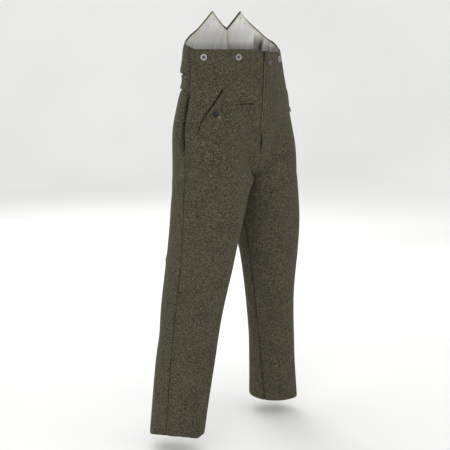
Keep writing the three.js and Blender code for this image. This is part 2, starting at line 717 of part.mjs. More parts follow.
const BUTTON_ON = 2 * GAP;
BRACE_AT.forEach(({ panel, across, z }, k) => {
  const mesh = add(`brace_button_${k + 1}`, buttonGeometry(BRACE_BUTTON), material(COLOURS.zinc, 0.45, 1));
  seat(mesh, panel, across, z, BUTTON_ON);
});

const smallButton = (radius) => {
  const { dishShare, rim, floor, shank } = SMALL_BUTTON;
  return buttonGeometry({ radius, dish: radius * dishShare, rim, floor, shank });
};
for (const side of ['right', 'left']) {
  const { across, z, radius } = POCKET_BUTTON;
  const mesh = add(`pocket_button_${side}`, smallButton(radius), material(COLOURS.paint, 0.35, 0.6));
  seat(mesh, `front_${side}`, across, z, BUTTON_ON);
}
const flyButton = add('fly_button', smallButton(FLY_BUTTON.radius), material(COLOURS.zinc, 0.4, 1));
seat(flyButton, 'front_left', FLY_BUTTON.across, FLY_BUTTON.z, BUTTON_ON);

export default trousers;
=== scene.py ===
# %% [markdown]
# # Uniform trousers of thick wool
# The trousers stand filled out, as if worn, with an open waist and open hems. Four wool panels make
# them: two fronts and two backs, which rise behind to a fishtail of two points. The plain solids give
# the places and sizes. This lesson gives each piece its real surface: nap, seams, stitches and metal.

# %% Load the frame
import math
import random

import bmesh
import bpy
import numpy as np
from mathutils import Matrix, Vector


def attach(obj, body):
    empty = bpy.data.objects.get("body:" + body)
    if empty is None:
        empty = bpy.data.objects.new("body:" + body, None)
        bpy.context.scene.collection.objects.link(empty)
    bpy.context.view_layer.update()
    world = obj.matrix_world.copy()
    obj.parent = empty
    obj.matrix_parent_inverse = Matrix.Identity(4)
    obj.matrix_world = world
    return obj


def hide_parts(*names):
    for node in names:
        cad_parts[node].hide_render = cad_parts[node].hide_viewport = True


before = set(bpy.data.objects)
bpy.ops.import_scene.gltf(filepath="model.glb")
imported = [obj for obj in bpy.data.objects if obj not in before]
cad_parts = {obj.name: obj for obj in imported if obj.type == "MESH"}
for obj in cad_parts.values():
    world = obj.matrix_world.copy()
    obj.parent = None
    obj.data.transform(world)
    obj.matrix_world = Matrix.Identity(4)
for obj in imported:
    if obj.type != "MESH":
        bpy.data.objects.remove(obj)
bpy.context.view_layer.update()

MM = 0.001
BODY = "root"
dice = random.Random(7)
print("nodes in the frame:", len(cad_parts))

# %% [markdown]
# ## Camera
# A garment this tall is photographed from a few metres away with a long lens, so its lines stay
# straight. The camera stands a little above the waist, turned 45 degrees to the wearer's right, and
# tips down towards the thighs. A lens length is worked out from the picture's own width in pixels.

# %% Camera
PICTURE = 450
FOCAL_PIXELS = 981
SENSOR = 36
CAMERA_DISTANCE = 2.81
CAMERA_HEIGHT = 0.117
CAMERA_TURN = math.radians(45)
AIM = Vector((-0.0205, 0.0205, -0.407))

camera_data = bpy.data.cameras.new("camera")
camera_data.sensor_width = SENSOR
camera_data.lens = FOCAL_PIXELS / PICTURE * SENSOR
camera = bpy.data.objects.new("camera", camera_data)
bpy.context.scene.collection.objects.link(camera)
camera.location = (
    -CAMERA_DISTANCE * math.sin(CAMERA_TURN),
    -CAMERA_DISTANCE * math.cos(CAMERA_TURN),
    CAMERA_HEIGHT,
)
camera.rotation_euler = (AIM - camera.location).to_track_quat("-Z", "Y").to_euler()
bpy.context.scene.camera = camera
print("lens in mm:", round(camera_data.lens, 1))

# %% [markdown]
# ## Nodes and colours
# Every finish below is a small tree of nodes. One function adds a node with its settings and links,
# and one turns the colour that a designer reads off a screen into the linear colour that light uses.

# %% Helpers for materials
def linear(hex_colour):
    parts = [int(hex_colour[i:i + 2], 16) / 255 for i in (1, 3, 5)]
    return (*[p / 12.92 if p <= 0.04045 else ((p + 0.055) / 1.055) ** 2.4 for p in parts], 1.0)


def add_node(tree, kind, inputs=None, **settings):
    node = tree.nodes.new(kind)
    for name, value in settings.items():
        setattr(node, name, value)
    for name, value in (inputs or {}).items():
        if isinstance(value, bpy.types.NodeSocket):
            tree.links.new(value, node.inputs[name])
        else:
            node.inputs[name].default_value = value
    return node


def new_material(name):
    material = bpy.data.materials.new(name)
    material.use_nodes = True
    tree = material.node_tree
    return material, tree, tree.nodes["Principled BSDF"]


def per_metre(size_mm):
    return 1 / (size_mm * MM)


def blend_colours(tree, factor, first, second, how="MIX"):
    mixer = add_node(
        tree, "ShaderNodeMix", {0: factor, 6: first, 7: second}, data_type="RGBA", blend_type=how,
    )
    return mixer.outputs[2]


def ramp(tree, factor, stops):
    node = add_node(tree, "ShaderNodeValToRGB", {"Fac": factor})
    elements = node.color_ramp.elements
    while len(elements) < len(stops):
        elements.new(0.5)
    for element, (place, colour) in zip(elements, stops):
        element.position = place
        element.color = linear(colour)
    return node.outputs["Color"]


def noise(tree, where, size_mm, detail=2.0, roughness=0.5):
    node = add_node(
        tree, "ShaderNodeTexNoise",
        {"Vector": where, "Scale": per_metre(size_mm), "Detail": detail, "Roughness": roughness},
    )
    return node.outputs["Fac"]


def painted(tree, name):
    return add_node(tree, "ShaderNodeAttribute", attribute_name=name).outputs["Fac"]


def cloth_map(tree):
    return add_node(tree, "ShaderNodeUVMap", uv_map="cloth").outputs["UV"]


def dress(tree, shader, colour, settings, height=None, strength=0.0, deep_mm=0.0):
    """Link a colour and a fine relief to the shader, and set its other inputs."""
    tree.links.new(colour, shader.inputs["Base Color"])
    for name, value in settings.items():
        shader.inputs[name].default_value = value
    if height is not None:
        bump = add_node(
            tree, "ShaderNodeBump", {"Height": height, "Strength": strength, "Distance": deep_mm * MM},
        )
        tree.links.new(bump.outputs["Normal"], shader.inputs["Normal"])


print("helpers ready")

# %% [markdown]
# ## Fulled wool
# The cloth is spun from wool dyed in several colours before carding, so each thread is a mixture:
# brown-grey at a distance, with green-black, tan and blue-grey fibres close to. Fulling felts the
# surface and hides the weave. Light is scattered by the nap, so there is no gloss, only a soft sheen
# near the outline. The real fibres are 0.03 mm thick: they are drawn as flecks of 1 to 2 mm, as coarse
# as they must be to show. The pattern lies on the cloth's own map, where one unit is one metre. In deep
# folds and along the sewn seams the colour is darkened with painted shade; an attribute says where.

# %% Wool material
WOOL_FLECK = 1.9
WOOL_CLUMP = 6.0
WOOL_CLOUD = 60
WOOL_FIBRE = 1.2
WOOL_RAMP = ((0.1, "#2c2b25"), (0.4, "#454239"), (0.6, "#514f44"), (0.9, "#706d60"))


WOOL_FINISH = {
    "Roughness": 0.96,
    "Specular IOR Level": 0.12,
    "Sheen Weight": 0.12,
    "Sheen Roughness": 0.55,
    "Sheen Tint": linear("#b9b29c"),
}


def wool_material(name, shade="#ffffff"):
    material, tree, shader = new_material(name)
    where = cloth_map(tree)
    cells = add_node(tree, "ShaderNodeTexVoronoi", {"Vector": where, "Scale": per_metre(WOOL_FLECK)})
    fleck = cells.outputs["Color"]
    clump = noise(tree, where, WOOL_CLUMP, 2, 0.6)
    cloud = noise(tree, where, WOOL_CLOUD, 2)
    fibre = noise(tree, where, WOOL_FIBRE, 2, 0.7)
    colour = ramp(tree, fleck, WOOL_RAMP)
    green = ramp(tree, clump, ((0.4, "#bbbfb2"), (0.5, "#c6c5bd"), (0.62, "#cfc6b8")))
    colour = blend_colours(tree, 0.85, colour, green, "MULTIPLY")
    soft = ramp(tree, cloud, ((0.3, "#dcdcda"), (0.7, "#f0efec")))
    # Painted shade: darker where the attribute marks deep folds and the sewn seams
    painted_hollow_shade = ramp(tree, painted(tree, "hollow_shade"), ((0.0, "#ffffff"), (1.0, "#8f8f8b")))
    for layer in (soft, painted_hollow_shade, linear(shade)):
        colour = blend_colours(tree, 1.0, colour, layer, "MULTIPLY")
    brighter = add_node(
        tree, "ShaderNodeHueSaturation", {"Color": colour, "Value": 1.52, "Saturation": 1.03},
    )
    height = add_node(tree, "ShaderNodeMath", {0: fleck, 1: fibre}, operation="ADD").outputs[0]
    dress(tree, shader, brighter.outputs["Color"], WOOL_FINISH, height, 0.5, 0.6)
    return material


WOOL = wool_material("fulled_wool_heathered")
# The pocket facings get a darker copy of the wool: painted shade
WOOL_SHADED_IN_POCKETS = wool_material("fulled_wool_painted_shade_in_pockets", "#54544f")
print("wool ready")

# %% [markdown]
# ## Cotton, twill and thread
# The inside of the waist is lined with plain-woven off-white cotton. Its threads are 0.5 mm apart,
# drawn 1 mm apart so that they show. Where the lining's edge is turned under it is creamier, and a
# painted attribute says where that is. The fly's facing is a brown cotton twill, whose slanting ribs
# come from a wave turned 45 degrees. On it the same attribute paints shadow: along the outer edge,
# and on all of the facing above the top button. Threads are plain twisted cotton.

# %% Cotton materials
COTTON_THREAD = 1.0
TWILL_RIB = 1.2


def weave_height(tree, where, spacing_mm):
    turns = per_metre(spacing_mm) / 10
    ways = [
        add_node(
            tree, "ShaderNodeTexWave", {"Vector": where, "Scale": turns, "Distortion": 0.6, "Detail": 1.0},
            wave_type="BANDS", bands_direction=way,
        ).outputs["Fac"]
        for way in ("X", "Y")
    ]
    return add_node(tree, "ShaderNodeMath", {0: ways[0], 1: ways[1]}, operation="MULTIPLY").outputs[0]


def lining_material():
    material, tree, shader = new_material("plain_woven_cotton")
    where = cloth_map(tree)
    stretched = add_node(tree, "ShaderNodeMapping", {"Vector": where, "Scale": (3.2, 0.45, 1)}).outputs[0]
    streak = noise(tree, stretched, 60, 2, 0.5)
    colour = ramp(tree, streak, ((0.3, "#e6e5e1"), (0.5, "#efeeea"), (0.72, "#f6f5f2")))
    colour = blend_colours(tree, painted(tree, "turned"), colour, linear("#d8d0b0"))
    patchy = ramp(tree, streak, ((0.3, "#ffffff"), (0.7, "#d8d8d8")))
    # Painted shade: the lining darkens to grey-green, in patches, where the attribute says
    painted_shade = painted(tree, "painted_shade")
    shade_amount = add_node(tree, "ShaderNodeMath", {0: painted_shade, 1: patchy}, operation="MULTIPLY").outputs[0]
    colour = blend_colours(tree, shade_amount, colour, linear("#403f35"))
    height = weave_height(tree, where, COTTON_THREAD)
    dress(tree, shader, colour, {"Roughness": 0.88, "Specular IOR Level": 0.2}, height, 0.35, 0.15)
    return material


def twill_material():
    material, tree, shader = new_material("brown_cotton_twill")
    where = cloth_map(tree)
    slanted = add_node(tree, "ShaderNodeMapping", {"Vector": where, "Rotation": (0, 0, math.radians(45))})
    rib = add_node(
        tree, "ShaderNodeTexWave",
        {"Vector": slanted.outputs[0], "Scale": per_metre(TWILL_RIB) / 10, "Distortion": 0.4},
        wave_type="BANDS", bands_direction="X",
    ).outputs["Fac"]
    spots = noise(tree, where, 9, 3, 0.6)
    colour = ramp(tree, rib, ((0.1, "#63502f"), (0.8, "#94784a")))
    worn = ramp(tree, spots, ((0.35, "#b9b2a8"), (0.65, "#ffffff")))
    colour = blend_colours(tree, 0.8, colour, worn, "MULTIPLY")
    # Painted shadow: the facing's outer edge, and all of it above the top button
    colour = blend_colours(tree, painted(tree, "turned"), colour, linear("#1d1a15"))
    dress(tree, shader, colour, {"Roughness": 0.9}, rib, 0.5, 0.2)
    return material


def thread_material(name, dark, light):
    material, tree, shader = new_material(name)
    where = add_node(tree, "ShaderNodeTexCoord").outputs["Object"]
    colour = ramp(tree, noise(tree, where, 1.2, 2), ((0.35, dark), (0.65, light)))
    dress(tree, shader, colour, {"Roughness": 0.8, "Sheen Weight": 0.2})
    return material


LINING = lining_material()
TWILL = twill_material()
CREAM_THREAD = thread_material("cream_cotton_thread", "#c6bc98", "#e2dabb")
GREEN_THREAD = thread_material("field_grey_thread", "#34342b", "#55543f")
NAVY_THREAD = thread_material("blue_black_thread", "#0b0f14", "#1a232c")
TAN_THREAD = thread_material("tan_buttonhole_thread", "#6b5a3e", "#93805a")
print("cotton, twill and thread ready")

# %% [markdown]
# ## Zinc, enamel and steel
# The brace buttons are pressed from zinc. Zinc dulls to a chalky grey, and rubbing keeps the rim
# bright, so the rim and the dish get two finishes. The pocket buttons are pressed steel under
# blue-black enamel, a smooth hard paint with a soft gloss. The adjuster's buckle is bare steel.

# %% Metal materials
def metal_material(name, dark, light, metallic, roughness, grain_mm=1.5, coat=0.0, gloss=0.5):
    material, tree, shader = new_material(name)
    where = add_node(tree, "ShaderNodeTexCoord").outputs["Object"]
    grain = noise(tree, where, grain_mm, 3, 0.6)
    finish = {
        "Metallic": metallic,
        "Specular IOR Level": gloss,
        "Roughness": roughness,
        "Coat Weight": coat,
        "Coat Roughness": 0.08,
    }
    dress(tree, shader, ramp(tree, grain, ((0.3, dark), (0.7, light))), finish, grain, 0.25, 0.1)
    return material


ZINC_RIM = metal_material("pressed_zinc_rubbed_bright", "#8d8e8d", "#b6b6b3", 0.75, 0.48)
ZINC_DISH = metal_material("pressed_zinc_dulled", "#525356", "#747677", 0.6, 0.6)
ENAMEL = metal_material("blue_black_enamel", "#050b12", "#0d1a27", 0.0, 0.3, 2.5, 0.1, 0.22)
STEEL = metal_material("pressed_steel_dull", "#585d60", "#8b9094", 0.95, 0.42)
print("metals ready")

# %% [markdown]
# ## The shape of the cloth
# A tailor thinks of a leg as a tube of rings, and so does this cell. Each ring's sizes stand in a
# table by height, and a smooth curve runs through its rows. From a ring comes a panel's line in plan:
# half of a leg's ring below the crotch, a quarter of the trunk's ring above the hip, and between them
# one passing into the other, which draws the seat seam. All are in millimetres here.

# %% Sizes
HEM = -984
CROTCH = -254
HIP = -60
FRONT_HIP = -110
WAIST = 0
FLY_END = -150
GAP = 0.3
WOOL_THICK = 2
FACING_THICK = 1
LINING_THICK = 0.8
FACET = 0.85
UNDER = -WOOL_THICK - GAP - FACET

# Heights of each panel's top edge, at shares of its width from the fly or the centre back seam.
# The fishtail's notch lies a little past the seam, on the left back panel.
NOTCH_SHARE = 0.05
TOP_EDGE = {
    "front_right": ((0, 93), (0.17, 93.5), (0.25, 98), (0.92, 99), (1, 105)),
    "front_left": ((0, 91), (0.5, 91), (0.75, 99), (0.83, 108), (1, 122)),
    "back_right": (
        (0, 163), (0.28, 205), (0.41, 178), (0.54, 153), (0.67, 138), (0.8, 119), (0.93, 110), (1, 105),
    ),
    "back_left": ((0, 163), (NOTCH_SHARE, 157), (0.33, 207), (0.45, 186), (0.62, 162), (0.8, 140), (1, 122)),
}

# The right hem's height past the rest, at shares of the panel's width: up in front, down behind
HEM_EDGE = {
    "front_right": ((0, 2), (0.35, 5), (0.47, 5), (0.56, -2), (0.7, 5), (0.8, 8), (1, 8)),
    "back_right": ((0, 2), (0.3, -6), (0.5, -12), (0.6, -12), (0.7, -6), (0.8, 0), (0.9, 5), (1, 8)),
}

RING_COLUMNS = ("z", "right", "left", "front", "back", "seam", "fly", "tuck")
RINGS = (
    (-254, 200, 200, 138, 136, 0, -12, 25),
    (-200, 205, 198, 137, 140, 0, -12, 24),
    (-130, 203, 189, 131, 143, 3, -10, 16),
    (-60, 188, 181, 124, 144, 16, -2, 3),
    (0, 175, 168, 118, 140, 34, 0, 0),
    (50, 172, 153, 114, 136, 47, 0, 0),
    (97, 177, 145, 109, 125, 52, 0, 0),
    (118, 172, 146, 107, 117, 52, 0, 0),
    (157, 158, 150, 104, 98, 50, 0, 0),
    (205, 148, 146, 100, 84, 47, 0, 0),
)
SEAM_SHIFT_POWER = 2
FLY_SHIFT_POWER = 4
TUCK_POWER = 10
LEG_COLUMNS = ("z", "x", "y", "half", "deep", "turn", "bow")
RIGHT_LEG = (
    (-984, -222, 12, 55, 83, 26, 1.55),
    (-800, -191, 15, 65, 90, 19, 1.65),
    (-640, -164, 12, 70, 98, 13, 1.75),
    (-500, -138, 3, 79, 106, 8, 1.85),
    (-380, -117, 0, 90, 112, 4, 1.92),
    (-280, -101, 0, 97, 118, 1, 2),
    (-254, -97, 0, 97, 120, 0, 2),
)
LEFT_LEG = (
    (-984, 202, 30, 62, 78, 29, 1.55),
    (-800, 184, 22, 76, 73, 21, 1.65),
    (-640, 164, 13, 83, 75, 15, 1.75),
    (-500, 147, 4, 92, 88, 9, 1.85),
    (-380, 126, 0, 94, 108, 4, 1.92),
    (-280, 105, 0, 97, 119, 1, 2),
    (-254, 99, 0, 99, 120, 0, 2),
)
SEAM_FOLLOWS_TURN = 0.3
CROTCH_ROUNDNESS = 0.82
FRONT_SEAM_ROUND = 3.5
CROTCH_REACH = 0.55
FLY_EDGE = ((-150, 0), (-120, -4), (-75, -10), (0, -6), (97, 4))
FLY_SHIELD = 30
FLY_RUNS_OUT = 50
FLY_LIFT = WOOL_THICK + FACING_THICK + 2 * GAP + 1.5 * FACET
FLY_LIFT_FADE = 40
LAP_PAST_SHIELD = 4
SEAM_HOLDS = 26
print("rings:", len(RINGS), "leg rings:", len(RIGHT_LEG), len(LEFT_LEG))

# %% Curves through the tables
def read(table, column, z):
    z = np.asarray(z, float)
    heights = np.array([row[0] for row in table], float)
    values = np.array([row[column] for row in table], float)
    slopes = np.diff(values) / np.diff(heights)
    ends = np.concatenate(([slopes[0]], (slopes[1:] + slopes[:-1]) / 2, [slopes[-1]]))
    i = np.clip(np.searchsorted(heights, z, side="left") - 1, 0, len(heights) - 2)
    span = heights[i + 1] - heights[i]
    t = np.clip((z - heights[i]) / span, 0, 1)
    plain = values[i] * (1 - t) ** 2 * (1 + 2 * t) + values[i + 1] * t * t * (3 - 2 * t)
    return plain + span * (ends[i] * t * (1 - t) ** 2 - ends[i + 1] * t * t * (1 - t))


def along_rows(place, rows):
    return np.interp(place, [row[0] for row in rows], [row[1] for row in rows])


def mix(a, b, t):
    return a + (b - a) * t


def ease(t):
    c = np.clip(t, 0, 1)
    return c * c * (3 - 2 * c)


def bell(distance, width):
    return np.exp(-(distance / width) ** 2)


CURVE_STEPS = 96


def evenly(curve):
    fine = curve(np.linspace(0, 1, CURVE_STEPS * 3 + 1))
    run = np.concatenate(([0], np.cumsum(np.hypot(*np.diff(fine, axis=0).T))))
    want = np.linspace(0, run[-1], CURVE_STEPS + 1)
    return np.stack([np.interp(want, run, fine[:, k]) for k in (0, 1)], axis=1)


def leg_half(right, front, z):
    leg = RIGHT_LEG if right else LEFT_LEG
    x, y, half, deep, turn, bow = [float(read(leg, k, z)) for k in range(1, 7)]
    turned = math.radians(turn)
    start = (0 if right else math.pi) - SEAM_FOLLOWS_TURN * turned
    way = -1 if right == front else 1

    def curve(s):
        angle = start + way * math.pi * s
        c = np.cos(angle)
        px = half * np.sign(c) * np.abs(c) ** (2 / bow)
        py = deep * np.sin(angle)
        return np.stack([
            x + px * math.cos(turned) - py * math.sin(turned),
            y + px * math.sin(turned) + py * math.cos(turned),
        ], axis=1)

    return evenly(curve)


def trunk_quarter(right, front, z):
    to_right, to_left, ahead, behind, seam, fly, tuck = [float(read(RINGS, k, z)) for k in range(1, 8)]

    def curve(s):
        c = np.clip(np.cos(s * math.pi / 2), 0, 1)
        x = (-to_right if right else to_left) * np.sin(s * math.pi / 2)
        if front:
            return np.stack([x + fly * c ** FLY_SHIFT_POWER, tuck * c ** TUCK_POWER - ahead * c], axis=1)
        return np.stack([x + seam * c ** SEAM_SHIFT_POWER, behind * c], axis=1)

    return evenly(curve)


def seam_share(front, z):
    t = min(max((z - CROTCH) / ((FRONT_HIP if front else HIP) - CROTCH), 0), 1)
    if front:
        return (1 - (1 - t) ** FRONT_SEAM_ROUND) ** (1 / FRONT_SEAM_ROUND)
    return t ** CROTCH_ROUNDNESS * (1 + CROTCH_ROUNDNESS * (1 - t))


def plan_line(panel, z):
    right, front = panel.endswith("right"), panel.startswith("front")
    if z <= CROTCH:
        return leg_half(right, front, z)
    if z >= HIP:
        return trunk_quarter(right, front, z)
    side = ease((z - CROTCH) / (HIP - CROTCH))
    centre = seam_share(front, z)
    leg, trunk = leg_half(right, front, CROTCH), trunk_quarter(right, front, z)
    along = np.linspace(0, 1, CURVE_STEPS + 1)
    share = mix(centre, side, ease(along / CROTCH_REACH))[:, None]
    return leg * (1 - share) + trunk * share


print("points of a panel's line at the hip:", len(plan_line("front_right", HIP)))

# %% [markdown]
# ## From a flat pattern to the body
# A cutter works on flat cloth, so a point of a panel is named by two lengths: how far across it lies
# from the centre or inner leg seam, and its height. One function lifts such points onto the body, and
# moves them out along the cloth's own normal for whatever lies on it. The plan lines are worked out
# once every 2 mm of height and kept, because thousands of points will ask for them.

# %% Lifting a flat pattern
PANELS = ("front_right", "front_left", "back_right", "back_left")
LEVEL_STEP = 2.0
LEVELS = np.arange(HEM - 20, 214, LEVEL_STEP)
PLANS = {}
LENGTHS = {}
for panel in PANELS:
    PLANS[panel] = np.stack([plan_line(panel, z) for z in LEVELS])
    steps = np.diff(PLANS[panel], axis=1)
    LENGTHS[panel] = np.hypot(steps[:, :, 0], steps[:, :, 1]).sum(axis=1)


def points_inward(panel):
    """Whether the cross product of across and up points into the body on this panel."""
    return panel in ("front_right", "back_left")


def length_at(panel, z):
    return np.interp(z, LEVELS, LENGTHS[panel])


def on_line(panel, across, z):
    row = np.clip((z - LEVELS[0]) / LEVEL_STEP, 0, len(LEVELS) - 1.001)
    low = row.astype(int)
    result = 0
    for level, weight in ((low, 1 - (row - low)), (low + 1, row - low)):
        place = np.abs(across) / LENGTHS[panel][level] * CURVE_STEPS
        k = np.clip(place.astype(int), 0, CURVE_STEPS - 1)
        part = (place - k)[:, None]
        point = PLANS[panel][level, k] * (1 - part) + PLANS[panel][level, k + 1] * part
        result = result + point * weight[:, None]
    return result


def plan_point(panel, across, z):
    other = panel.replace("right", "left") if "right" in panel else panel.replace("left", "right")
    here, there = on_line(panel, across, z), on_line(other, across, z)
    return np.where((across < 0)[:, None], there, here)


# %% [markdown]
# ## Folds
# Thick fulled wool holds few folds, and they are broad and soft. The largest are in the solids too:
# the swell above and below the waist tabs, the hollows under the seat and behind the knees. Each fold
# is a bell in the flat pattern, with its place as a share of the panel's width, its height, its half
# width and half length, its lean and its rise. Folds fade out beside a seam, which holds the cloth.

# %% Folds of the cloth
FOLDS = {
    "front_right": (
        (0.9, 50, 45, 24, 0, 4),
        (0.9, 10, 36, 24, 0, -3),
        (0.86, -60, 26, 60, 0.2, 3),
        (0.27, -258, 40, 34, 0, 12),
        (0.6, -480, 28, 130, 0.1, 3),
        (0.3, -330, 22, 80, -0.25, 4),
        (0.45, -760, 24, 110, 0.1, 2.5),
    ),
    "front_left": (
        (0.88, 50, 45, 24, 0, 4),
        (0.9, 10, 36, 24, 0, -3),
        (0.27, -256, 38, 32, 0, 8),
        (0.62, -430, 26, 120, -0.1, 3),
        (0.28, -320, 22, 70, 0.25, 4),
        (0.2, -640, 20, 120, 0.1, 3),
    ),
    "back_right": (
        (0.85, 52, 55, 24, 0, 5),
        (0.6, 10, 90, 24, 0, -4),
        (0.55, -300, 60, 26, 0, -5),
        (0.5, -520, 40, 90, 0.15, 6),
        (0.6, -700, 36, 60, -0.3, -4),
    ),
    "back_left": (
        (0.85, 54, 55, 24, 0, 5),
        (0.6, 10, 90, 24, 0, -4),
        (0.5, -310, 56, 24, 0, -5),
        (0.55, -500, 42, 100, -0.1, 6),
        (0.5, -720, 34, 70, 0.3, -4),
    ),
}


def folded(rows, panel, across, z):
    length = length_at(panel, z)
    out = np.zeros_like(z)
    for share, height, wide, long, lean, lift_mm in rows:
        off = across - share * length - lean * (z - height)
        out += lift_mm * bell(off, wide) * bell(z - height, long)
    return out * ease(np.minimum(across, length - across) / SEAM_HOLDS)


def rise(panel, across, z):
    out = folded(FOLDS[panel], panel, across, z)
    if panel == "front_left":
        over = ease((FLY_SHIELD + LAP_PAST_SHIELD + FLY_LIFT_FADE - across) / FLY_LIFT_FADE)
        out += FLY_LIFT * over * ease((z - FLY_END + FLY_RUNS_OUT) / FLY_RUNS_OUT)
    return out


def bare(panel, across, z):
    before, after = plan_point(panel, across - 0.5, z), plan_point(panel, across + 0.5, z)
    turn = 1 if points_inward(panel) else -1
    out = np.stack([after[:, 1] - before[:, 1], before[:, 0] - after[:, 0]], axis=1) * -turn
    out /= np.linalg.norm(out, axis=1)[:, None]
    flat = plan_point(panel, across, z) + out * rise(panel, across, z)[:, None]
    side = -GAP / 2 if panel.endswith("right") else GAP / 2
    return np.stack([flat[:, 0] + side, flat[:, 1], z], axis=1)


def lift(panel, across, z, out=0.0):
    across, z = np.atleast_1d(np.asarray(across, float)), np.atleast_1d(np.asarray(z, float))
    across, z = np.broadcast_arrays(across, z)
    length = length_at(panel, z)
    low = np.where(across < 0, across - 1, np.maximum(across - 1, 0))
    high = np.minimum(across + 1, np.maximum(length, across))
    along = bare(panel, high, z) - bare(panel, low, z)
    up = bare(panel, across, z + 1) - bare(panel, across, z - 1)
    normal = np.cross(along, up)
    normal /= np.linalg.norm(normal, axis=1)[:, None]
    flip = -1 if points_inward(panel) else 1
    out = np.broadcast_to(np.asarray(out, float), z.shape)
    return bare(panel, across, z) + normal * (out * flip)[:, None]


print("a point of the side seam:", lift("front_right", 240, -200).round(1))

# %% [markdown]
# ## From points to a wall of cloth
# A sheet starts as a grid of points with no thickness. Solidify gives it a wall on the side away from
# the eye, and its rim closes the edges. The cloth's map is set before that, so both faces carry it.

# %% Making a sheet
def select_only(piece):
    bpy.ops.object.select_all(action="DESELECT")
    piece.select_set(True)
    bpy.context.view_layer.objects.active = piece


def new_piece(name, vertices, faces, material):
    mesh = bpy.data.meshes.new(name)
    mesh.from_pydata([tuple(v) for v in vertices], [], faces)
    mesh.validate()
    piece = bpy.data.objects.new(name, mesh)
    bpy.context.scene.collection.objects.link(piece)
    mesh.materials.append(material)
    return piece


def finish_piece(piece, nodes=(), angle=40):
    select_only(piece)
    bpy.ops.object.shade_smooth_by_angle(angle=math.radians(angle))
    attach(piece, BODY)
    if nodes:
        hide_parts(*nodes)
    piece.data.update()
    print(piece.name, "has", len(piece.data.polygons), "faces")


def thicken(piece, thickness_mm):
    select_only(piece)
    wall = piece.modifiers.new("wall", "SOLIDIFY")
    wall.thickness = thickness_mm * MM
    wall.offset = -1
    wall.use_even_offset = False
    bpy.ops.object.modifier_apply(modifier="wall")


# Each panel is cut from its own part of the bolt, so that its flecks never mirror its neighbour's
CUT_APART = 731


def map_cloth(mesh, flat):
    layer = mesh.uv_layers.new(name="cloth")
    corner = np.zeros(len(mesh.loops), int)
    mesh.loops.foreach_get("vertex_index", corner)
    layer.data.foreach_set("uv", (flat[corner] * MM).astype("f").ravel())


def grid_faces(rows, columns, flip):
    faces = []
    for j in range(rows - 1):
        for i in range(columns - 1):
            a = j * columns + i
            quad = (a, a + 1, a + columns + 1, a + columns)
            faces.append(quad[::-1] if flip else quad)
    return faces


def cloth_sheet(
    name, panel, across, z, out, thickness_mm, material, nodes=(), attributes=None,
):
    rows, columns = across.shape
    points = lift(panel, across.ravel(), z.ravel(), np.broadcast_to(out, across.shape).ravel())
    piece = new_piece(name, points * MM, grid_faces(rows, columns, points_inward(panel)), material)
    flat = np.stack([across.ravel(), z.ravel()], axis=1)
    map_cloth(piece.data, flat)
    for key, values in (attributes or {}).items():
        layer = piece.data.attributes.new(key, "FLOAT", "POINT")
        layer.data.foreach_set("value", np.broadcast_to(values, across.shape).astype("f").ravel())
    thicken(piece, thickness_mm)
    finish_piece(piece, nodes)


print("ready to make sheets")

# %% [markdown]
# ## The four panels
# Each panel is a grid whose columns crowd together beside the seams, where the cloth rolls into the
# stitching, and whose rows run from hem to top edge. The slanted pocket's slit and the watch pocket's
# slit are cut in the flat pattern, before the cloth is lifted onto the body, as a cutter would. On the
# body a slit's lower lip stands over the upper one, and seams sink a little between their allowances.

# %% Grid of a panel
PANEL_WIDTH = 245
EDGE_COLUMNS = (0, 0.6, 1.3, 2.2, 3.4, 5, 7.4, 10.5)
COLUMN_STEP = 4.2
ROW_STEP = 4.4
HEM_FADE = 120
SIDE_LAPS = 0.3


def top_edge(panel, share):
    return along_rows(share, TOP_EDGE[panel])


def hem_edge(panel, share):
    return HEM + along_rows(share, HEM_EDGE.get(panel, ((0, 0), (1, 0))))


def inner_edge(panel, z):
    run_out = ease((z - FLY_END) / FLY_RUNS_OUT)
    if panel == "front_left":
        return np.where(z > FLY_END, read(FLY_EDGE, 1, z), GAP / 2 * (z < CROTCH))
    if panel == "front_right":
        return np.where(z > FLY_END, -FLY_SHIELD * run_out, GAP / 2 * (z < CROTCH))
    return GAP / 2 * (z < CROTCH)


def column_places(panel):
    """Each column as a share of the width and a length in mm to add to it."""
    edge = EDGE_COLUMNS[-1]
    stops = [row[0] for row in TOP_EDGE[panel]]
    places = [(0, d) for d in EDGE_COLUMNS[:-1]]
    for k, (a, b) in enumerate(zip(stops[:-1], stops[1:])):
        first = edge if k == 0 else 0
        last = -edge if k == len(stops) - 2 else 0
        count = max(round(((b - a) * PANEL_WIDTH + last - first) / COLUMN_STEP), 1)
        places += [(mix(a, b, i / count), mix(first, last, i / count)) for i in range(count)]
    return places + [(1, -d) for d in reversed(EDGE_COLUMNS)]


def panel_grid(panel):
    places = column_places(panel)
    share = np.array([p[0] for p in places])
    extra = np.array([p[1] for p in places])
    low = np.linspace(HEM, WAIST, round((WAIST - HEM) / ROW_STEP), endpoint=False)
    high_rows = round(max(row[1] for row in TOP_EDGE[panel]) / ROW_STEP)
    tops = top_edge(panel, share + extra / PANEL_WIDTH)
    hem = hem_edge(panel, share + extra / PANEL_WIDTH) - HEM
    near_hem = 1 - ease((low - HEM) / HEM_FADE)
    z = np.concatenate([
        low[:, None] + near_hem[:, None] * hem[None, :],
        np.linspace(0, 1, high_rows + 1)[:, None] * tops[None, :],
    ])
    inner = inner_edge(panel, z)
    width = length_at(panel, z) + SIDE_LAPS - inner
    return inner + share * width + extra, z


print("rows and columns of a front:", panel_grid("front_right")[0].shape)

# %% Slits in the flat pattern
# A slit's line, as rows of its place across, its height and half its opening
SLIT = ((135, -8, 2.2), (165, -50, 2.0), (194, -90, 1.6), (209, -125, 0.9))
WATCH_SLIT = (
    (41, -49.6, 0.8), (47, -49.4, 2.0), (56, -49, 1.7), (66, -48.6, 1.0), (80, -48.6, 1.4),
    (90, -48.6, 0.9), (100, -48.6, 0.5),
)


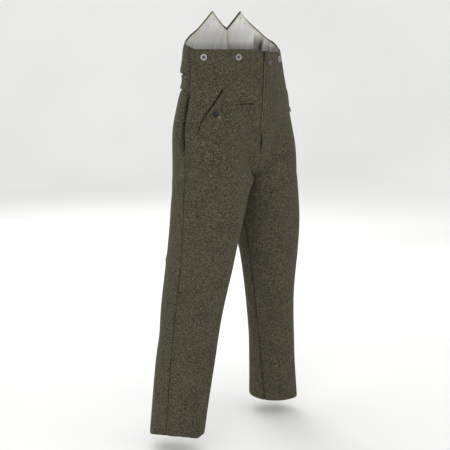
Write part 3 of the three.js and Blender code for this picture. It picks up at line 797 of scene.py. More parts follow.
def cut_slit(flat, slit):
    points = [Vector((x, z)) for x, z, _ in slit]
    halves = [row[2] for row in slit]
    sides = []
    for a, b in zip(points[:-1], points[1:]):
        way = (b - a).normalized()
        sides.append(Vector((-way.y, way.x)))
    normals = [sides[0]] + [((a + b) / 2).normalized() for a, b in zip(sides[:-1], sides[1:])] + [sides[-1]]
    edges = [[p + n * h * sign for p, n, h in zip(points, normals, halves)] for sign in (1, -1)]
    lines = [(a, b) for edge in edges for a, b in zip(edge[:-1], edge[1:])]
    lines += [(edges[0][0], edges[1][0]), (edges[0][-1], edges[1][-1])]
    for a, b in lines:
        way = (b - a).normalized()
        normal = Vector((-way.y, way.x, 0))
        near = [f for f in flat.faces if near_line(f.calc_center_median().to_2d(), a, b)]
        parts = set(near) | {e for f in near for e in f.edges} | {v for f in near for v in f.verts}
        bmesh.ops.bisect_plane(flat, geom=list(parts), plane_co=(a.x, a.y, 0), plane_no=normal, dist=1e-5)
    outline = edges[0] + edges[1][::-1]
    gone = [f for f in flat.faces if inside(f.calc_center_median().to_2d(), outline)]
    bmesh.ops.delete(flat, geom=gone, context="FACES")
    return len(gone)


def near_line(point, a, b, reach=6.0):
    span = b - a
    t = min(max((point - a).dot(span) / span.length_squared, 0), 1)
    return (point - a - span * t).length < reach


def inside(point, outline):
    hit = False
    for a, b in zip(outline, outline[1:] + outline[:1]):
        if (a.y > point.y) != (b.y > point.y) and point.x < a.x + (point.y - a.y) / (b.y - a.y) * (b.x - a.x):
            hit = not hit
    return hit


print("points of the pocket's slit and of the watch pocket's:", len(SLIT), len(WATCH_SLIT))

# %% [markdown]
# ## Small relief of the wool
# The seams, the lips of the slits and the narrower creases are not in the plain solids, so they are
# added here, in millimetres out from the cloth. Creases lie where the body would bend the cloth:
# fanning from the crotch, across the back of the knee, and slanting from the hip. The deepest is the
# sharp fold that runs down beside each side seam, and the tabs press a groove along their edges.

# %% Relief
CREASES = {
    "front_right": (
        (0.12, -225, 9, 46, 0.75, -1.6),
        (0.24, -262, 10, 60, 0.55, 1.3),
        (0.95, -35, 8, 70, 0.04, 1.5),
        (0.78, -175, 15, 70, -0.12, -1.2),
        (0.5, -560, 40, 11, 0, -1.0),
        (0.72, -600, 30, 9, 0.6, 1.0),
        (0.3, -880, 16, 60, 0.06, 1.0),
        (0.7, -930, 18, 46, -0.05, -1.1),
    ),
    "front_left": (
        (0.13, -232, 9, 40, 0.7, -1.6),
        (0.26, -270, 10, 60, 0.5, 1.2),
        (0.85, -150, 16, 70, 0.1, -1.2),
        (0.55, -545, 38, 10, 0, -1.0),
        (0.3, -620, 26, 9, -0.5, 1.0),
        (0.25, -900, 12, 70, 0.03, 1.6),
        (0.66, -880, 18, 56, -0.05, -1.0),
    ),
    "back_right": (
        (0.93, -75, 9, 80, 0.05, -2.4),
        (0.14, -190, 10, 44, 0.7, 1.5),
        (0.3, -236, 34, 9, -0.5, -1.8),
        (0.46, -470, 44, 8, 0.3, -2.2),
        (0.6, -496, 40, 9, -0.2, 1.6),
        (0.4, -520, 38, 8, 0.1, -1.8),
        (0.55, -640, 14, 70, 0.1, 1.4),
        (0.35, -860, 16, 80, -0.06, -1.5),
        (0.75, -900, 15, 60, 0.05, 1.2),
        (0.35, 70, 40, 10, 0.1, 1.2),
    ),
    "back_left": (
        (0.92, -90, 10, 76, 0.05, -2.2),
        (0.15, -200, 10, 44, 0.7, 1.5),
        (0.34, -244, 34, 9, -0.5, -1.8),
        (0.5, -462, 42, 8, -0.25, -2.2),
        (0.42, -488, 40, 9, 0.2, 1.6),
        (0.56, -516, 36, 8, -0.1, -1.8),
        (0.4, -650, 14, 70, -0.1, 1.4),
        (0.6, -850, 16, 80, 0.06, -1.5),
        (0.25, -910, 15, 60, 0.05, 1.2),
        (0.4, 74, 40, 10, -0.1, 1.2),
    ),
}
ROLL_DEEP = 1.2
ROLL_WIDE = 1.5
SEAM_DEEP = 0.8
SEAM_WIDE = 3.2
ALLOWANCE_AT = 12
ALLOWANCE_FADE = 2.5
ALLOWANCE_STANDS = 0.6
# Where the two legs meet, a sunk edge would open the seam, so the sinking is moved out of reach
CLEFT_AWAY = 60
CLEFT_CLOSES = 0.3
CLEFT_WIDE = 3
CLEFT_FADE_LOW = 8
CLEFT_FADE_HIGH = 10
# How deep a fold must be for painted shade to start, and over how much more it grows to its darkest;
# how dark and how wide the painted shade along a sewn seam is
HOLLOW_STARTS = 1.5
HOLLOW_DARKEST = 10
SEAM_LINE_DARK = 0.55
SEAM_LINE_WIDE = 1.8
# Ridges and grooves: the height of each, its distance from a line, and its half width
TROUGH_SLOPE = (6.5, 0, 17)
TROUGH_FLOOR = (8.0, 6, 4.2)
TAB_SWELL = (4.5, 8, 16)
GROOVE_OVER_TAB = (2.0, 1, 3.5)
GROOVE_UNDER_TAB = (3.0, 2, 5)
# Heights between which the fold beside the side seam runs, and how softly it ends
TROUGH_TOP = -12
TROUGH_TOP_FADE = 14
TROUGH_END = -235
TROUGH_END_FADE = 90
TROUGH_ON_FRONT = 5
TAB_SWELL_STARTS = 1
TAB_SWELL_FADE = 5
TAB_SWELL_FROM = 0.2
SIDE_HOLDS = 14
CROTCH_RIDGE = {"front_right": 8.0, "front_left": 2.0}
CROTCH_RIDGE_ACROSS = 17
CROTCH_RIDGE_WIDE = 13
CROTCH_RIDGE_HEIGHT = -225
CROTCH_RIDGE_LONG = 55
TAB_ROOT_HEIGHT = 42
TAB_END_HEIGHT = 25
TAB_LEVEL = 9
# The lips of a slit: the lower one stands out, the upper one sinks, and both fade at its ends. The
# lower lip grows along the slit, from a least share, and the edge of both lips is rolled in a little.
POCKET_LIPS = {
    "stands": 2.2, "lower": 9, "least": 1, "grows": 0, "sinks": 1.2, "upper": 7, "rolled": 0.5,
    "start": 0.12, "end": 0.25,
}
WATCH_LIPS = {
    "stands": 1.3, "lower": 4, "least": 0.4, "grows": 1, "sinks": 0.7, "upper": 3, "rolled": 0,
    "start": 0.15, "end": 0.1,
}
LIP_ROLL_AT = 1
LIP_ROLL_WIDE = 1.2


def ridge(distance, shape):
    height, place, wide = shape
    return height * bell(distance - place, wide)


def slit_distance(slit, across, z):
    """The signed distance to a slit, above it when positive, and its share of the way along."""
    best = np.full(across.shape, 1e9)
    sign = np.ones(across.shape)
    way_along = np.zeros(across.shape)
    rows = len(slit) - 1
    for k, (a, b) in enumerate(zip(slit[:-1], slit[1:])):
        span = np.array([b[0] - a[0], b[1] - a[1]], float)
        off = np.stack([across - a[0], z - a[1]], axis=-1)
        t = np.clip(off @ span / (span @ span), 0, 1)
        gap = off - t[..., None] * span
        distance = np.hypot(gap[..., 0], gap[..., 1])
        closer = distance < best
        best = np.where(closer, distance, best)
        cross = span[0] * gap[..., 1] - span[1] * gap[..., 0]
        sign = np.where(closer, np.sign(cross), sign)
        way_along = np.where(closer, (k + t) / rows, way_along)
    return best * sign, way_along


def lip_relief(slit, lips, across, z):
    distance, way_along = slit_distance(slit, across, z)
    ends = ease(way_along / lips["start"]) * ease((1 - way_along) / lips["end"])
    upper = np.where(distance > 0, 1.0, 0)
    grown = lips["least"] + lips["grows"] * way_along
    out = lips["stands"] * ends * bell(distance, lips["lower"]) * (1 - upper) * grown
    out -= lips["sinks"] * ends * bell(distance, lips["upper"]) * upper
    return out - lips["rolled"] * bell(np.abs(distance) - LIP_ROLL_AT, LIP_ROLL_WIDE)


def seam_relief(panel, from_inner, from_side, share, z):
    """The sunk seams between their allowances, and the rolled edges."""
    back = panel.startswith("back")
    cleft = ease((z - CROTCH + CLEFT_FADE_LOW) / CLEFT_FADE_LOW)
    cleft = cleft * ease(((HIP if back else FLY_END) - z) / CLEFT_FADE_HIGH)
    nearest = np.minimum(from_inner + CLEFT_AWAY * cleft, from_side)
    seam = nearest if back else np.where(z > FLY_END, from_side, nearest)
    out = CLEFT_CLOSES * bell(from_inner, CLEFT_WIDE) * cleft
    out -= SEAM_DEEP * bell(seam, SEAM_WIDE)
    out += ALLOWANCE_STANDS * ease((ALLOWANCE_AT - seam) / ALLOWANCE_FADE) * (seam > SEAM_WIDE / 2)
    for from_edge in (nearest, z - hem_edge(panel, share), top_edge(panel, share) - z):
        out -= ROLL_DEEP * bell(from_edge, ROLL_WIDE)
    return out


def back_relief(from_side, share, below_hip, z):
    """The fold beside the side seam, and what the tabs press out and in."""
    half_tab = mix(TAB_END_HEIGHT, TAB_ROOT_HEIGHT, share) / 2
    above, below = z - TAB_LEVEL - half_tab, TAB_LEVEL - half_tab - z
    held = ease(from_side / SIDE_HOLDS)
    swell = ease((above - TAB_SWELL_STARTS) / TAB_SWELL_FADE) * ease(share / TAB_SWELL_FROM)
    out = ridge(above, TAB_SWELL) * swell * held
    out -= (ridge(above, GROOVE_OVER_TAB) + ridge(below, GROOVE_UNDER_TAB)) * held
    return out - (ridge(from_side, TROUGH_SLOPE) + ridge(from_side, TROUGH_FLOOR)) * below_hip


def relief(panel, across, z):
    """How far the wool stands out from the plainly folded cloth."""
    length = length_at(panel, z)
    inner = inner_edge(panel, z)
    from_inner, from_side = across - inner, length - GAP / 2 - across
    share = np.clip(from_inner / (length - GAP / 2 - inner), 0, 1)
    out = folded(CREASES[panel], panel, across, z) + seam_relief(panel, from_inner, from_side, share, z)
    below_hip = ease((TROUGH_TOP - z) / TROUGH_TOP_FADE) * ease((z - TROUGH_END) / TROUGH_END_FADE)
    if panel.startswith("back"):
        return out + back_relief(from_side, share, below_hip, z)
    deep_at_seam = TROUGH_SLOPE[0] + float(ridge(0, TROUGH_FLOOR))
    out -= deep_at_seam * bell(from_side, TROUGH_ON_FRONT) * below_hip
    by_crotch = bell(from_inner - CROTCH_RIDGE_ACROSS, CROTCH_RIDGE_WIDE)
    out += CROTCH_RIDGE[panel] * by_crotch * bell(z - CROTCH_RIDGE_HEIGHT, CROTCH_RIDGE_LONG)
    out += lip_relief(SLIT, POCKET_LIPS, across, z)
    if panel == "front_right":
        out += lip_relief(WATCH_SLIT, WATCH_LIPS, across, z)
    return out


def under_wool(panel, across, z):
    """How far out a lining lies that follows every hollow of the wool."""
    return UNDER + np.minimum(relief(panel, np.abs(across), z), 0)


print("creases:", sum(len(rows) for rows in CREASES.values()))

# %% Make the panels
def flat_bmesh(across, z):
    rows, columns = across.shape
    flat = bmesh.new()
    vertices = [flat.verts.new((x, y, 0)) for x, y in zip(across.ravel(), z.ravel())]
    for quad in grid_faces(rows, columns, False):
        flat.faces.new([vertices[k] for k in quad])
    return flat


def hollow_shade_of(panel, across, z, stands):
    """How much painted shade darkens the wool, from 0 to 1: in deep folds and along the sewn seams."""
    along_side = SEAM_LINE_DARK * bell(length_at(panel, z) - across, SEAM_LINE_WIDE)
    sewn = (z < FLY_END) | panel.startswith("back")
    along_inner = SEAM_LINE_DARK * bell(across - inner_edge(panel, z), SEAM_LINE_WIDE) * sewn
    in_folds = ease((-stands - HOLLOW_STARTS) / HOLLOW_DARKEST)
    return np.maximum(in_folds, np.maximum(along_side, along_inner))


def make_panel(panel):
    across, z = panel_grid(panel)
    flat = flat_bmesh(across, z)
    if panel.startswith("front"):
        print(panel, "pocket slit took out", cut_slit(flat, SLIT), "faces")
    if panel == "front_right":
        print(panel, "watch slit took out", cut_slit(flat, WATCH_SLIT), "faces")
    mesh = bpy.data.meshes.new("wool_" + panel)
    flat.to_mesh(mesh)
    flat.free()
    where = np.zeros(len(mesh.vertices) * 3)
    mesh.vertices.foreach_get("co", where)
    where = where.reshape(-1, 3)[:, :2]
    stands = relief(panel, where[:, 0], where[:, 1])
    points = lift(panel, where[:, 0], where[:, 1], stands) * MM
    mesh.vertices.foreach_set("co", points.ravel())
    # Painted shade in deep folds and along the sewn seams, kept as an attribute for the wool's colour
    hollow_shade = mesh.attributes.new("hollow_shade", "FLOAT", "POINT")
    hollow_shade.data.foreach_set("value", hollow_shade_of(panel, where[:, 0], where[:, 1], stands).astype("f"))
    map_cloth(mesh, where + np.array([CUT_APART * (1 + PANELS.index(panel)), 0]))
    if points_inward(panel):
        mesh.flip_normals()
    mesh.materials.append(WOOL)
    piece = bpy.data.objects.new("wool_" + panel, mesh)
    bpy.context.scene.collection.objects.link(piece)
    thicken(piece, WOOL_THICK)
    finish_piece(piece, (panel,), 50)


for panel in PANELS:
    make_panel(panel)

# %% [markdown]
# ## Pocket facings, the watch pocket's welt and the fly's facing
# Behind each slit a facing of the same wool keeps the pocket from showing; it is a darker copy,
# with painted shade. Above the watch pocket's slit a narrow welt is stitched down. The brown twill
# facing lies under the left front's lap and shows as a thin line past its edge.

# %% Facings
POCKET_FACING_HALF = 15
POCKET_FACING_PAST_END = 8
FACING_SINKS = 1.5
WATCH_FACING = {"from": 36, "to": 105, "low": -65, "high": -40}
WELT = {
    "from": 40, "to": 101, "low": -47.1, "high": -42.5,
    "stands": 1.3, "rounds": 0.5, "ends_sink": 0.9, "ends_wide": 1.5,
}


def pocket_facing(side):
    first, last = np.array(SLIT[0][:2], float), np.array(SLIT[-1][:2], float)
    run = np.linalg.norm(last - first)
    way = (last - first) / run
    t = np.linspace(-POCKET_FACING_PAST_END, run + POCKET_FACING_PAST_END, 42)[None, :]
    v = np.linspace(-1, 1, 9)[:, None] * POCKET_FACING_HALF
    along = np.array([0] + [np.linalg.norm(np.array(row[:2]) - first) for row in SLIT[1:]])
    line_x = np.interp(t, along, [row[0] for row in SLIT]) + (t - np.clip(t, 0, run)) * way[0]
    line_z = np.interp(t, along, [row[1] for row in SLIT]) + (t - np.clip(t, 0, run)) * way[1]
    across = line_x - way[1] * v
    z = line_z + way[0] * v
    cloth_sheet(
        f"wool_pocket_facing_{side}", f"front_{side}", across, z, UNDER - FACING_SINKS, FACING_THICK,
        WOOL_SHADED_IN_POCKETS, (f"pocket_facing_{side}",),
    )


def upright(place):
    return lambda height: place + 0 * height


def patch(low, high, start, end, rows, columns):
    z = np.repeat(np.linspace(low, high, rows)[:, None], columns, axis=1)
    u = np.linspace(0, 1, columns)[None, :]
    return start(z) + (end(z) - start(z)) * u, z


for side in ("right", "left"):
    pocket_facing(side)

across, z = patch(
    WATCH_FACING["low"], WATCH_FACING["high"],
    upright(WATCH_FACING["from"]), upright(WATCH_FACING["to"]), 9, 24,
)
cloth_sheet(
    "wool_watch_pocket_facing", "front_right", across, z, UNDER, FACING_THICK, WOOL_SHADED_IN_POCKETS,
    ("watch_pocket_facing",),
)
across, z = patch(WELT["low"], WELT["high"], upright(WELT["from"]), upright(WELT["to"]), 9, 40)
middle = (WELT["low"] + WELT["high"]) / 2
half_welt = (WELT["high"] - WELT["low"]) / 2
crown = WELT["stands"] - WELT["rounds"] * ((z - middle) / half_welt) ** 4
for end in (WELT["from"], WELT["to"]):
    crown = crown - WELT["ends_sink"] * bell(across - end, WELT["ends_wide"])
cloth_sheet(
    "wool_watch_pocket_welt", "front_right", across, z, crown, FACING_THICK, WOOL,
    ("watch_pocket_welt",),
)

FACING_SHOWS = 4.4
FACING_DARK = 2.2
FACING_DARK_ABOVE = 62
FACING_DARK_EDGE = 0.5
FACING_DARK_FADE = 8
FACING_WIDTH = 28
FACING_ABOVE_FLY_END = 20
FACING_BELOW_TOP = 3
across, z = patch(
    FLY_END + FACING_ABOVE_FLY_END, float(top_edge("front_left", 0)) - FACING_BELOW_TOP,
    lambda height: read(FLY_EDGE, 1, height) - FACING_SHOWS,
    lambda height: read(FLY_EDGE, 1, height) + FACING_WIDTH, 60, 61,
)
# Painted shadow on the fly's facing: along its outer edge, and all of it above the top button
past_lap = read(FLY_EDGE, 1, z) - across
dark = np.maximum(
    ease((past_lap - FACING_SHOWS + FACING_DARK) / FACING_DARK_EDGE),
    ease((z - FACING_DARK_ABOVE) / FACING_DARK_FADE),
)
cloth_sheet(
    "twill_fly_facing", "front_left", across, z, UNDER, FACING_THICK, TWILL, ("fly_facing",),
    {"turned": dark},
)

# %% [markdown]
# ## The cotton lining
# The lining hangs inside the waist and is caught only along its edges, so it stands a little off the
# wool in soft upright ripples. They rise towards the body, never into the wool. Two painted
# attributes guide its colour: one along the folded edge, which is creamier, and painted shade, darker
# towards the bottom and in the hollow at the wearer's left.

# %% Lining
LINING_BELOW_EDGE = 4
LINING_FRONT_END = 8
LINING_BACK_END = -70
LINING_ROWS = 44
LINING_TURNED = 3.2
LINING_CLEAR = 0.35
LINING_CROWDS = 1.2
LINING_HELD = 16
EDGE_CREAMIER = 0.7
SEAM_CREAMIER = 0.4
# The lining's own back seam leaves the wool's at the notch and comes down to the wearer's left
LINING_SEAM = ((97, 38), (157, 11))
RIPPLES = (
    (0.08, 60, 13, 60, 0.02, 2.6),
    (0.26, 90, 20, 46, 0.05, 3.2),
    (0.44, 30, 17, 60, 0.04, 3.6),
    (0.62, 80, 19, 50, -0.05, 3.0),
    (0.8, 50, 16, 50, 0.05, 3.2),
)


def ripples(panel, across, z, shift):
    length = length_at(panel, z)
    out = np.zeros_like(z)
    for share, height, wide, long, lean, deep in RIPPLES:
        place = (share + shift) % 1
        out += deep * bell(across - place * length - lean * (z - height), wide) * bell(z - height, long)
    return out


def lining_seam(z):
    return along_rows(z, LINING_SEAM)


def lining_start(panel, z):
    starts = {"back_right": -lining_seam(z) + LINING_CLEAR, "back_left": lining_seam(z) + LINING_CLEAR}
    starts["front_right"], starts["front_left"] = 3 - FLY_SHIELD, 9 + FLY_SHIELD
    return starts[panel] + 0 * z


def lining_top(panel, f):
    """Height of the lining's top edge at a share f of its own width."""
    if panel == "back_right":
        share = mix(-NOTCH_SHARE, 1, f)
        past_seam = along_rows(-share, TOP_EDGE["back_left"][:2])
        return np.where(share < 0, past_seam, top_edge(panel, share)) - LINING_BELOW_EDGE
    if panel == "back_left":
        return top_edge(panel, mix(NOTCH_SHARE, 1, f)) - LINING_BELOW_EDGE
    first = max(float(lining_start(panel, np.array(0.0))), 0) / float(length_at(panel, WAIST))
    return top_edge(panel, mix(first, 1, f)) - LINING_BELOW_EDGE


# How much painted shade darkens the lining: at the top, how much more below, under which height, and over how
# far
LINING_SHADE = {
    "back_right": (0.02, 0.46, 126, 26),
    "back_left": (0.03, 0.62, 126, 26),
    "front_right": (0.15, 0, 0, 1),
    "front_left": (0.35, 0.35, 112, 14),
}
# A painted shadow in the hollow at the wearer's left: where its sharp edge stands, at two heights, and its
# extent
HOLLOW_EDGE = ((100, 121), (140, 107))
HOLLOW_EDGE_SOFT = 1.5
HOLLOW_WIDE = 25
HOLLOW_WIDE_FADE = 16
HOLLOW_TOP = 152
HOLLOW_TOP_FADE = 44
HOLLOW_DARK = 1.05
HOLLOW_LIGHTENS = 0.55


# Painted shade on the lining, darker towards the bottom, with a painted shadow in the hollow at the wearer's
# left
def lining_shade_of(panel, across, z):
    least, more, under, over = LINING_SHADE[panel]
    low = least + more * ease((under - z) / over)
    if panel != "back_left":
        return low
    past_edge = across - along_rows(z, HOLLOW_EDGE)
    fades = ease((past_edge - HOLLOW_WIDE) / HOLLOW_WIDE_FADE)
    hollow_shade = ease((HOLLOW_TOP - z) / HOLLOW_TOP_FADE) * (HOLLOW_DARK - HOLLOW_LIGHTENS * fades)
    return low + (hollow_shade - low) * ease(past_edge / HOLLOW_EDGE_SOFT + 0.5) * (hollow_shade > low)


def lining(panel, low, shift):
    f = np.unique([p[0] for p in column_places(panel)] + [k / 70 for k in range(71)])
    v = 1 - (1 - np.linspace(0, 1, LINING_ROWS)[:, None]) ** LINING_CROWDS
    top = lining_top(panel, f)[None, :]
    z = low + (top - low) * v
    start = lining_start(panel, z)
    across = start + (length_at(panel, z) - 0.5 - start) * f[None, :]
    below_edge = top - z
    hold = ease(below_edge / LINING_HELD)
    flat_x, flat_z = across.ravel(), z.ravel()
    out = under_wool(panel, flat_x, flat_z) - hold.ravel() * ripples(panel, flat_x, flat_z, shift)
    turned = EDGE_CREAMIER * bell(below_edge - 1.5, LINING_TURNED)
    if panel.startswith("back"):
        turned = np.maximum(turned, SEAM_CREAMIER * bell(across - start - 1.5, 3.0))
    cloth_sheet(
        f"cotton_lining_{panel}", panel, across, z, out.reshape(z.shape), LINING_THICK, LINING,
        (f"lining_{panel}",), {"turned": turned, "painted_shade": lining_shade_of(panel, across, z)},
    )


lining("back_right", LINING_BACK_END, 0.0)
lining("back_left", LINING_BACK_END, 0.37)
lining("front_right", LINING_FRONT_END, 0.1)
lining("front_left", LINING_FRONT_END, 0.5)

# %% [markdown]
# ## The waist adjuster
# Two wool tabs run from the side seams to the centre of the back, where the right one passes over
# the buckle and its tail lies on the left one. Each tab is two layers of wool, turned and stitched
# round, so its edge is full and round. A tab keeps its own grid: wide at the seam, narrow at the tip.

# %% Adjuster tabs
TAB_THICK = 2
TAB_FROM_SEAM = 0.6
TAB_PAST_CENTRE = 8
TAB_TAIL = 58
TAB_CLEAR_OF_BUCKLE = 14
TAB_CLIMBS_OVER = 34
TAB_DROPS_OVER = 16
TAB_SINKS_OVER = 9
BUCKLE = {"width": 36, "height": 38, "bar": 3.2, "thick": 1.6, "stands": 1.6}
TAB_ROWS = (-1, -0.985, -0.95, -0.88, -0.75, -0.5, -0.25, 0, 0.25, 0.5, 0.75, 0.88, 0.95, 0.985, 1)
TAB_COLUMNS = (0, 0.004, 0.012, 0.024, 0.04, *np.linspace(0.06, 1, 58))
TAB_TIP_NARROWS = 0.35
TAB_TIP_SHARE = 0.05
TAB_EDGE_ROLLS = (0.8, 0, 1.0)
TAB_EDGE_STANDS = (0.25, 5, 2)
TAB_ROOT_STANDS = 0.4
ON = 2 * GAP + FACET
OVER_BUCKLE = TAB_THICK + BUCKLE["thick"] + 2 * GAP + BUCKLE["stands"]


def tab_rise(across):
    clear = BUCKLE["width"] / 2 + TAB_CLEAR_OF_BUCKLE
    climbs = OVER_BUCKLE * ease((clear + TAB_CLIMBS_OVER - across) / TAB_CLIMBS_OVER)
    drops = mix(OVER_BUCKLE, TAB_THICK + GAP, ease((-clear - across) / TAB_DROPS_OVER))
    return np.where(across > clear, climbs, np.where(across > -clear, OVER_BUCKLE, drops))


def tab(side, end_across, offset):
    panel = f"back_{side}"
    v = np.array(TAB_ROWS)[:, None]
    u = np.array(TAB_COLUMNS)[None, :]
    tip = 1 - TAB_TIP_NARROWS * (1 - np.clip(u / TAB_TIP_SHARE, 0, 1)) ** 2
    half = mix(TAB_END_HEIGHT, TAB_ROOT_HEIGHT, u) / 2 * tip
    z = TAB_LEVEL + half * v
    root = length_at(panel, z) - TAB_FROM_SEAM
    across = end_across + (root - end_across) * u
    edge = np.minimum((1 - np.abs(v)) * half, across - end_across)
    out = ON + TAB_THICK + offset(across) - ridge(edge, TAB_EDGE_ROLLS) + ridge(edge, TAB_EDGE_STANDS)
    out -= (ON + TAB_THICK - TAB_ROOT_STANDS) * ease(1 - (root - across) / TAB_SINKS_OVER)
    cloth_sheet(
        f"wool_adjuster_tab_{side}", panel, across, z, out, TAB_THICK, WOOL,
        (f"adjuster_tab_{side}",),
    )


tab("left", -TAB_PAST_CENTRE, lambda across: 0 * across)
tab("right", -TAB_TAIL, tab_rise)

# %% [markdown]
# ## Placing hard pieces on cloth
# A button or buckle is modelled flat at the origin, facing up, then carried to the cloth by a matrix:
# up becomes the cloth's normal. Only the mesh is moved, so the finished object stays at the origin.

# %% Seats for hard pieces
def seat_matrix(panel, across, z, out):
    base = lift(panel, across, z, out)[0]
    normal = Vector(lift(panel, across, z, out + 10)[0] - base).normalized()
    side = Vector((0, 0, 1)).cross(normal).normalized()
    up = normal.cross(side)
    turn = Matrix((side, up, normal)).transposed().to_4x4()
    return Matrix.Translation(Vector(base) * MM) @ turn


def pick_faces(mesh, keep):
    bpy.ops.mesh.select_mode(type="FACE")
    bpy.ops.mesh.select_all(action="DESELECT")
    edit = bmesh.from_edit_mesh(mesh)
    for face in edit.faces:
        face.select_set(keep(face))
    bmesh.update_edit_mesh(mesh)


def apply_modifier(piece, name):
    select_only(piece)
    bpy.ops.object.modifier_apply(modifier=name)


print("ready to seat buttons and the buckle")

# %% [markdown]
# ## The zinc brace buttons
# A brace button is a pressed shell 17 mm across: a fat rolled rim, a slope, and a flat floor with
# four holes for the thread. It starts as a flat cylinder. Its top face is inset and moved in steps,
# which turns the rim, the slope and the floor, and four small cylinders are cut through the floor.

# %% Model a dished button
HOLE_RADIUS = 1.05
HOLE_OUT = 1.9
BLANK_SIDES = 40
BLANK_THICK = 2.0
BLANK_HEIGHT = 1.8
UNDERSIDE_INSET = 1.1
EDGE_SOFT = 0.22


def dished_button(name, radius, steps, floor_radius, rim_material, dish_material):
    bpy.ops.object.select_all(action="DESELECT")
    bpy.ops.mesh.primitive_cylinder_add(
        vertices=BLANK_SIDES, radius=radius * MM, depth=BLANK_THICK * MM, location=(0, 0, BLANK_HEIGHT * MM),
    )
    button = bpy.context.object
    button.name = name
    bpy.ops.object.transform_apply(location=True, rotation=True, scale=True)
    bpy.ops.object.mode_set(mode="EDIT")
    pick_faces(button.data, lambda face: face.normal.z > 0.9)
    for inset_mm, up_mm in steps:
        bpy.ops.mesh.inset(thickness=inset_mm * MM)
        bpy.ops.transform.translate(value=(0, 0, up_mm * MM))
    pick_faces(button.data, lambda face: face.normal.z < -0.9)
    bpy.ops.mesh.inset(thickness=UNDERSIDE_INSET * MM)
    bpy.ops.object.mode_set(mode="OBJECT")
    for k in range(4):
        angle = math.radians(45 + 90 * k)
        place = (HOLE_OUT * MM * math.cos(angle), HOLE_OUT * MM * math.sin(angle), 1.5 * MM)
        cut_hole(button, place)
    soften = button.modifiers.new("soften", "BEVEL")
    soften.width = EDGE_SOFT * MM
    soften.segments = 2
    soften.limit_method = "ANGLE"
    soften.angle_limit = math.radians(28)
    apply_modifier(button, "soften")
    button.data.materials.append(rim_material)
    button.data.materials.append(dish_material)
    for face in button.data.polygons:
        middle = face.center
        inner = math.hypot(middle.x, middle.y) < floor_radius * MM and face.normal.z > 0.3
        face.material_index = 1 if inner else 0
    bpy.context.scene.collection.objects.unlink(button)
    return button


def cut_hole(button, place):
    bpy.ops.object.select_all(action="DESELECT")
    bpy.ops.mesh.primitive_cylinder_add(vertices=12, radius=HOLE_RADIUS * MM, depth=8 * MM, location=place)
    drill = bpy.context.object
    hole = button.modifiers.new("hole", "BOOLEAN")
    hole.object = drill
    hole.solver = "EXACT"
    apply_modifier(button, "hole")
    bpy.data.objects.remove(drill, do_unlink=True)


def place_copy(master, name, matrix, node):
    piece = bpy.data.objects.new(name, master.data.copy())
    bpy.context.scene.collection.objects.link(piece)
    piece.data.transform(matrix)
    finish_piece(piece, (node,), 35)


BRACE_STEPS = ((0.9, 0.35), (1.1, 0.0), (1.0, -0.45), (1.3, -0.85), (0.5, -0.05))
brace_master = dished_button("brace_master", 8.5, BRACE_STEPS, 5.2, ZINC_RIM, ZINC_DISH)
print("one brace button has", len(brace_master.data.polygons), "faces")

# %% [markdown]
# Each brace button sits where the solids have it: four on the fronts, and three on each back, with
# two close under the fishtail's point and one near the side seam. The thread that holds a button
# crosses its holes, and comes out on the lining behind it as a small dark dot.

# %% Place the brace buttons
BUTTON_ON = 2 * GAP
BRACE_AT = (
    ("front_right", 87, 77),
    ("front_right", 182, 77),
    ("front_left", 78, 70),
    ("front_left", 164, 78),
    ("back_right", 59, 184),
    ("back_right", 79, 163),
    ("back_right", 178, 112),
    ("back_left", 52, 187),
    ("back_left", 69, 172),
    ("back_left", 152, 112),
)
for number, (panel, across, z) in enumerate(BRACE_AT, 1):
    turn = Matrix.Rotation(math.radians(dice.uniform(-40, 40)), 4, "Z")
    place_copy(
        brace_master, f"zinc_brace_button_{number}", seat_matrix(panel, across, z, BUTTON_ON) @ turn,
        f"brace_button_{number}",
    )

# %% [markdown]
# ## The enamelled pocket buttons and the fly's top button
# The pocket buttons are the same kind of shell, 16 mm across, in blue-black enamel. The fly's top
# button is smaller and bare zinc.

# %% Small buttons
SMALL_STEPS = ((0.8, 0.3), (1.0, 0.0), (1.0, -0.5), (0.9, -0.5), (0.4, 0.0))
POCKET_BUTTON = (158, -75)
FLY_BUTTON = (14, 61)
pocket_master = dished_button("pocket_master", 8.0, SMALL_STEPS, 0, ENAMEL, ENAMEL)
for side in ("right", "left"):
    place_copy(
        pocket_master, f"enamel_pocket_button_{side}",
        seat_matrix(f"front_{side}", *POCKET_BUTTON, BUTTON_ON), f"pocket_button_{side}",
    )
fly_master = dished_button("fly_master", 6.5, SMALL_STEPS, 3.0, ZINC_DISH, ZINC_DISH)
place_copy(
    fly_master, "zinc_fly_button", seat_matrix("front_left", *FLY_BUTTON, BUTTON_ON), "fly_button",
)

# %% [markdown]
# ## The adjuster's buckle
# The buckle is stamped from one sheet of steel: a frame with a bar down its middle. A flat grid with
# its lines drawn to the bars' edges gives the sheet, its two windows are deleted, Solidify gives it
# its gauge and Bevel its rounded corners.

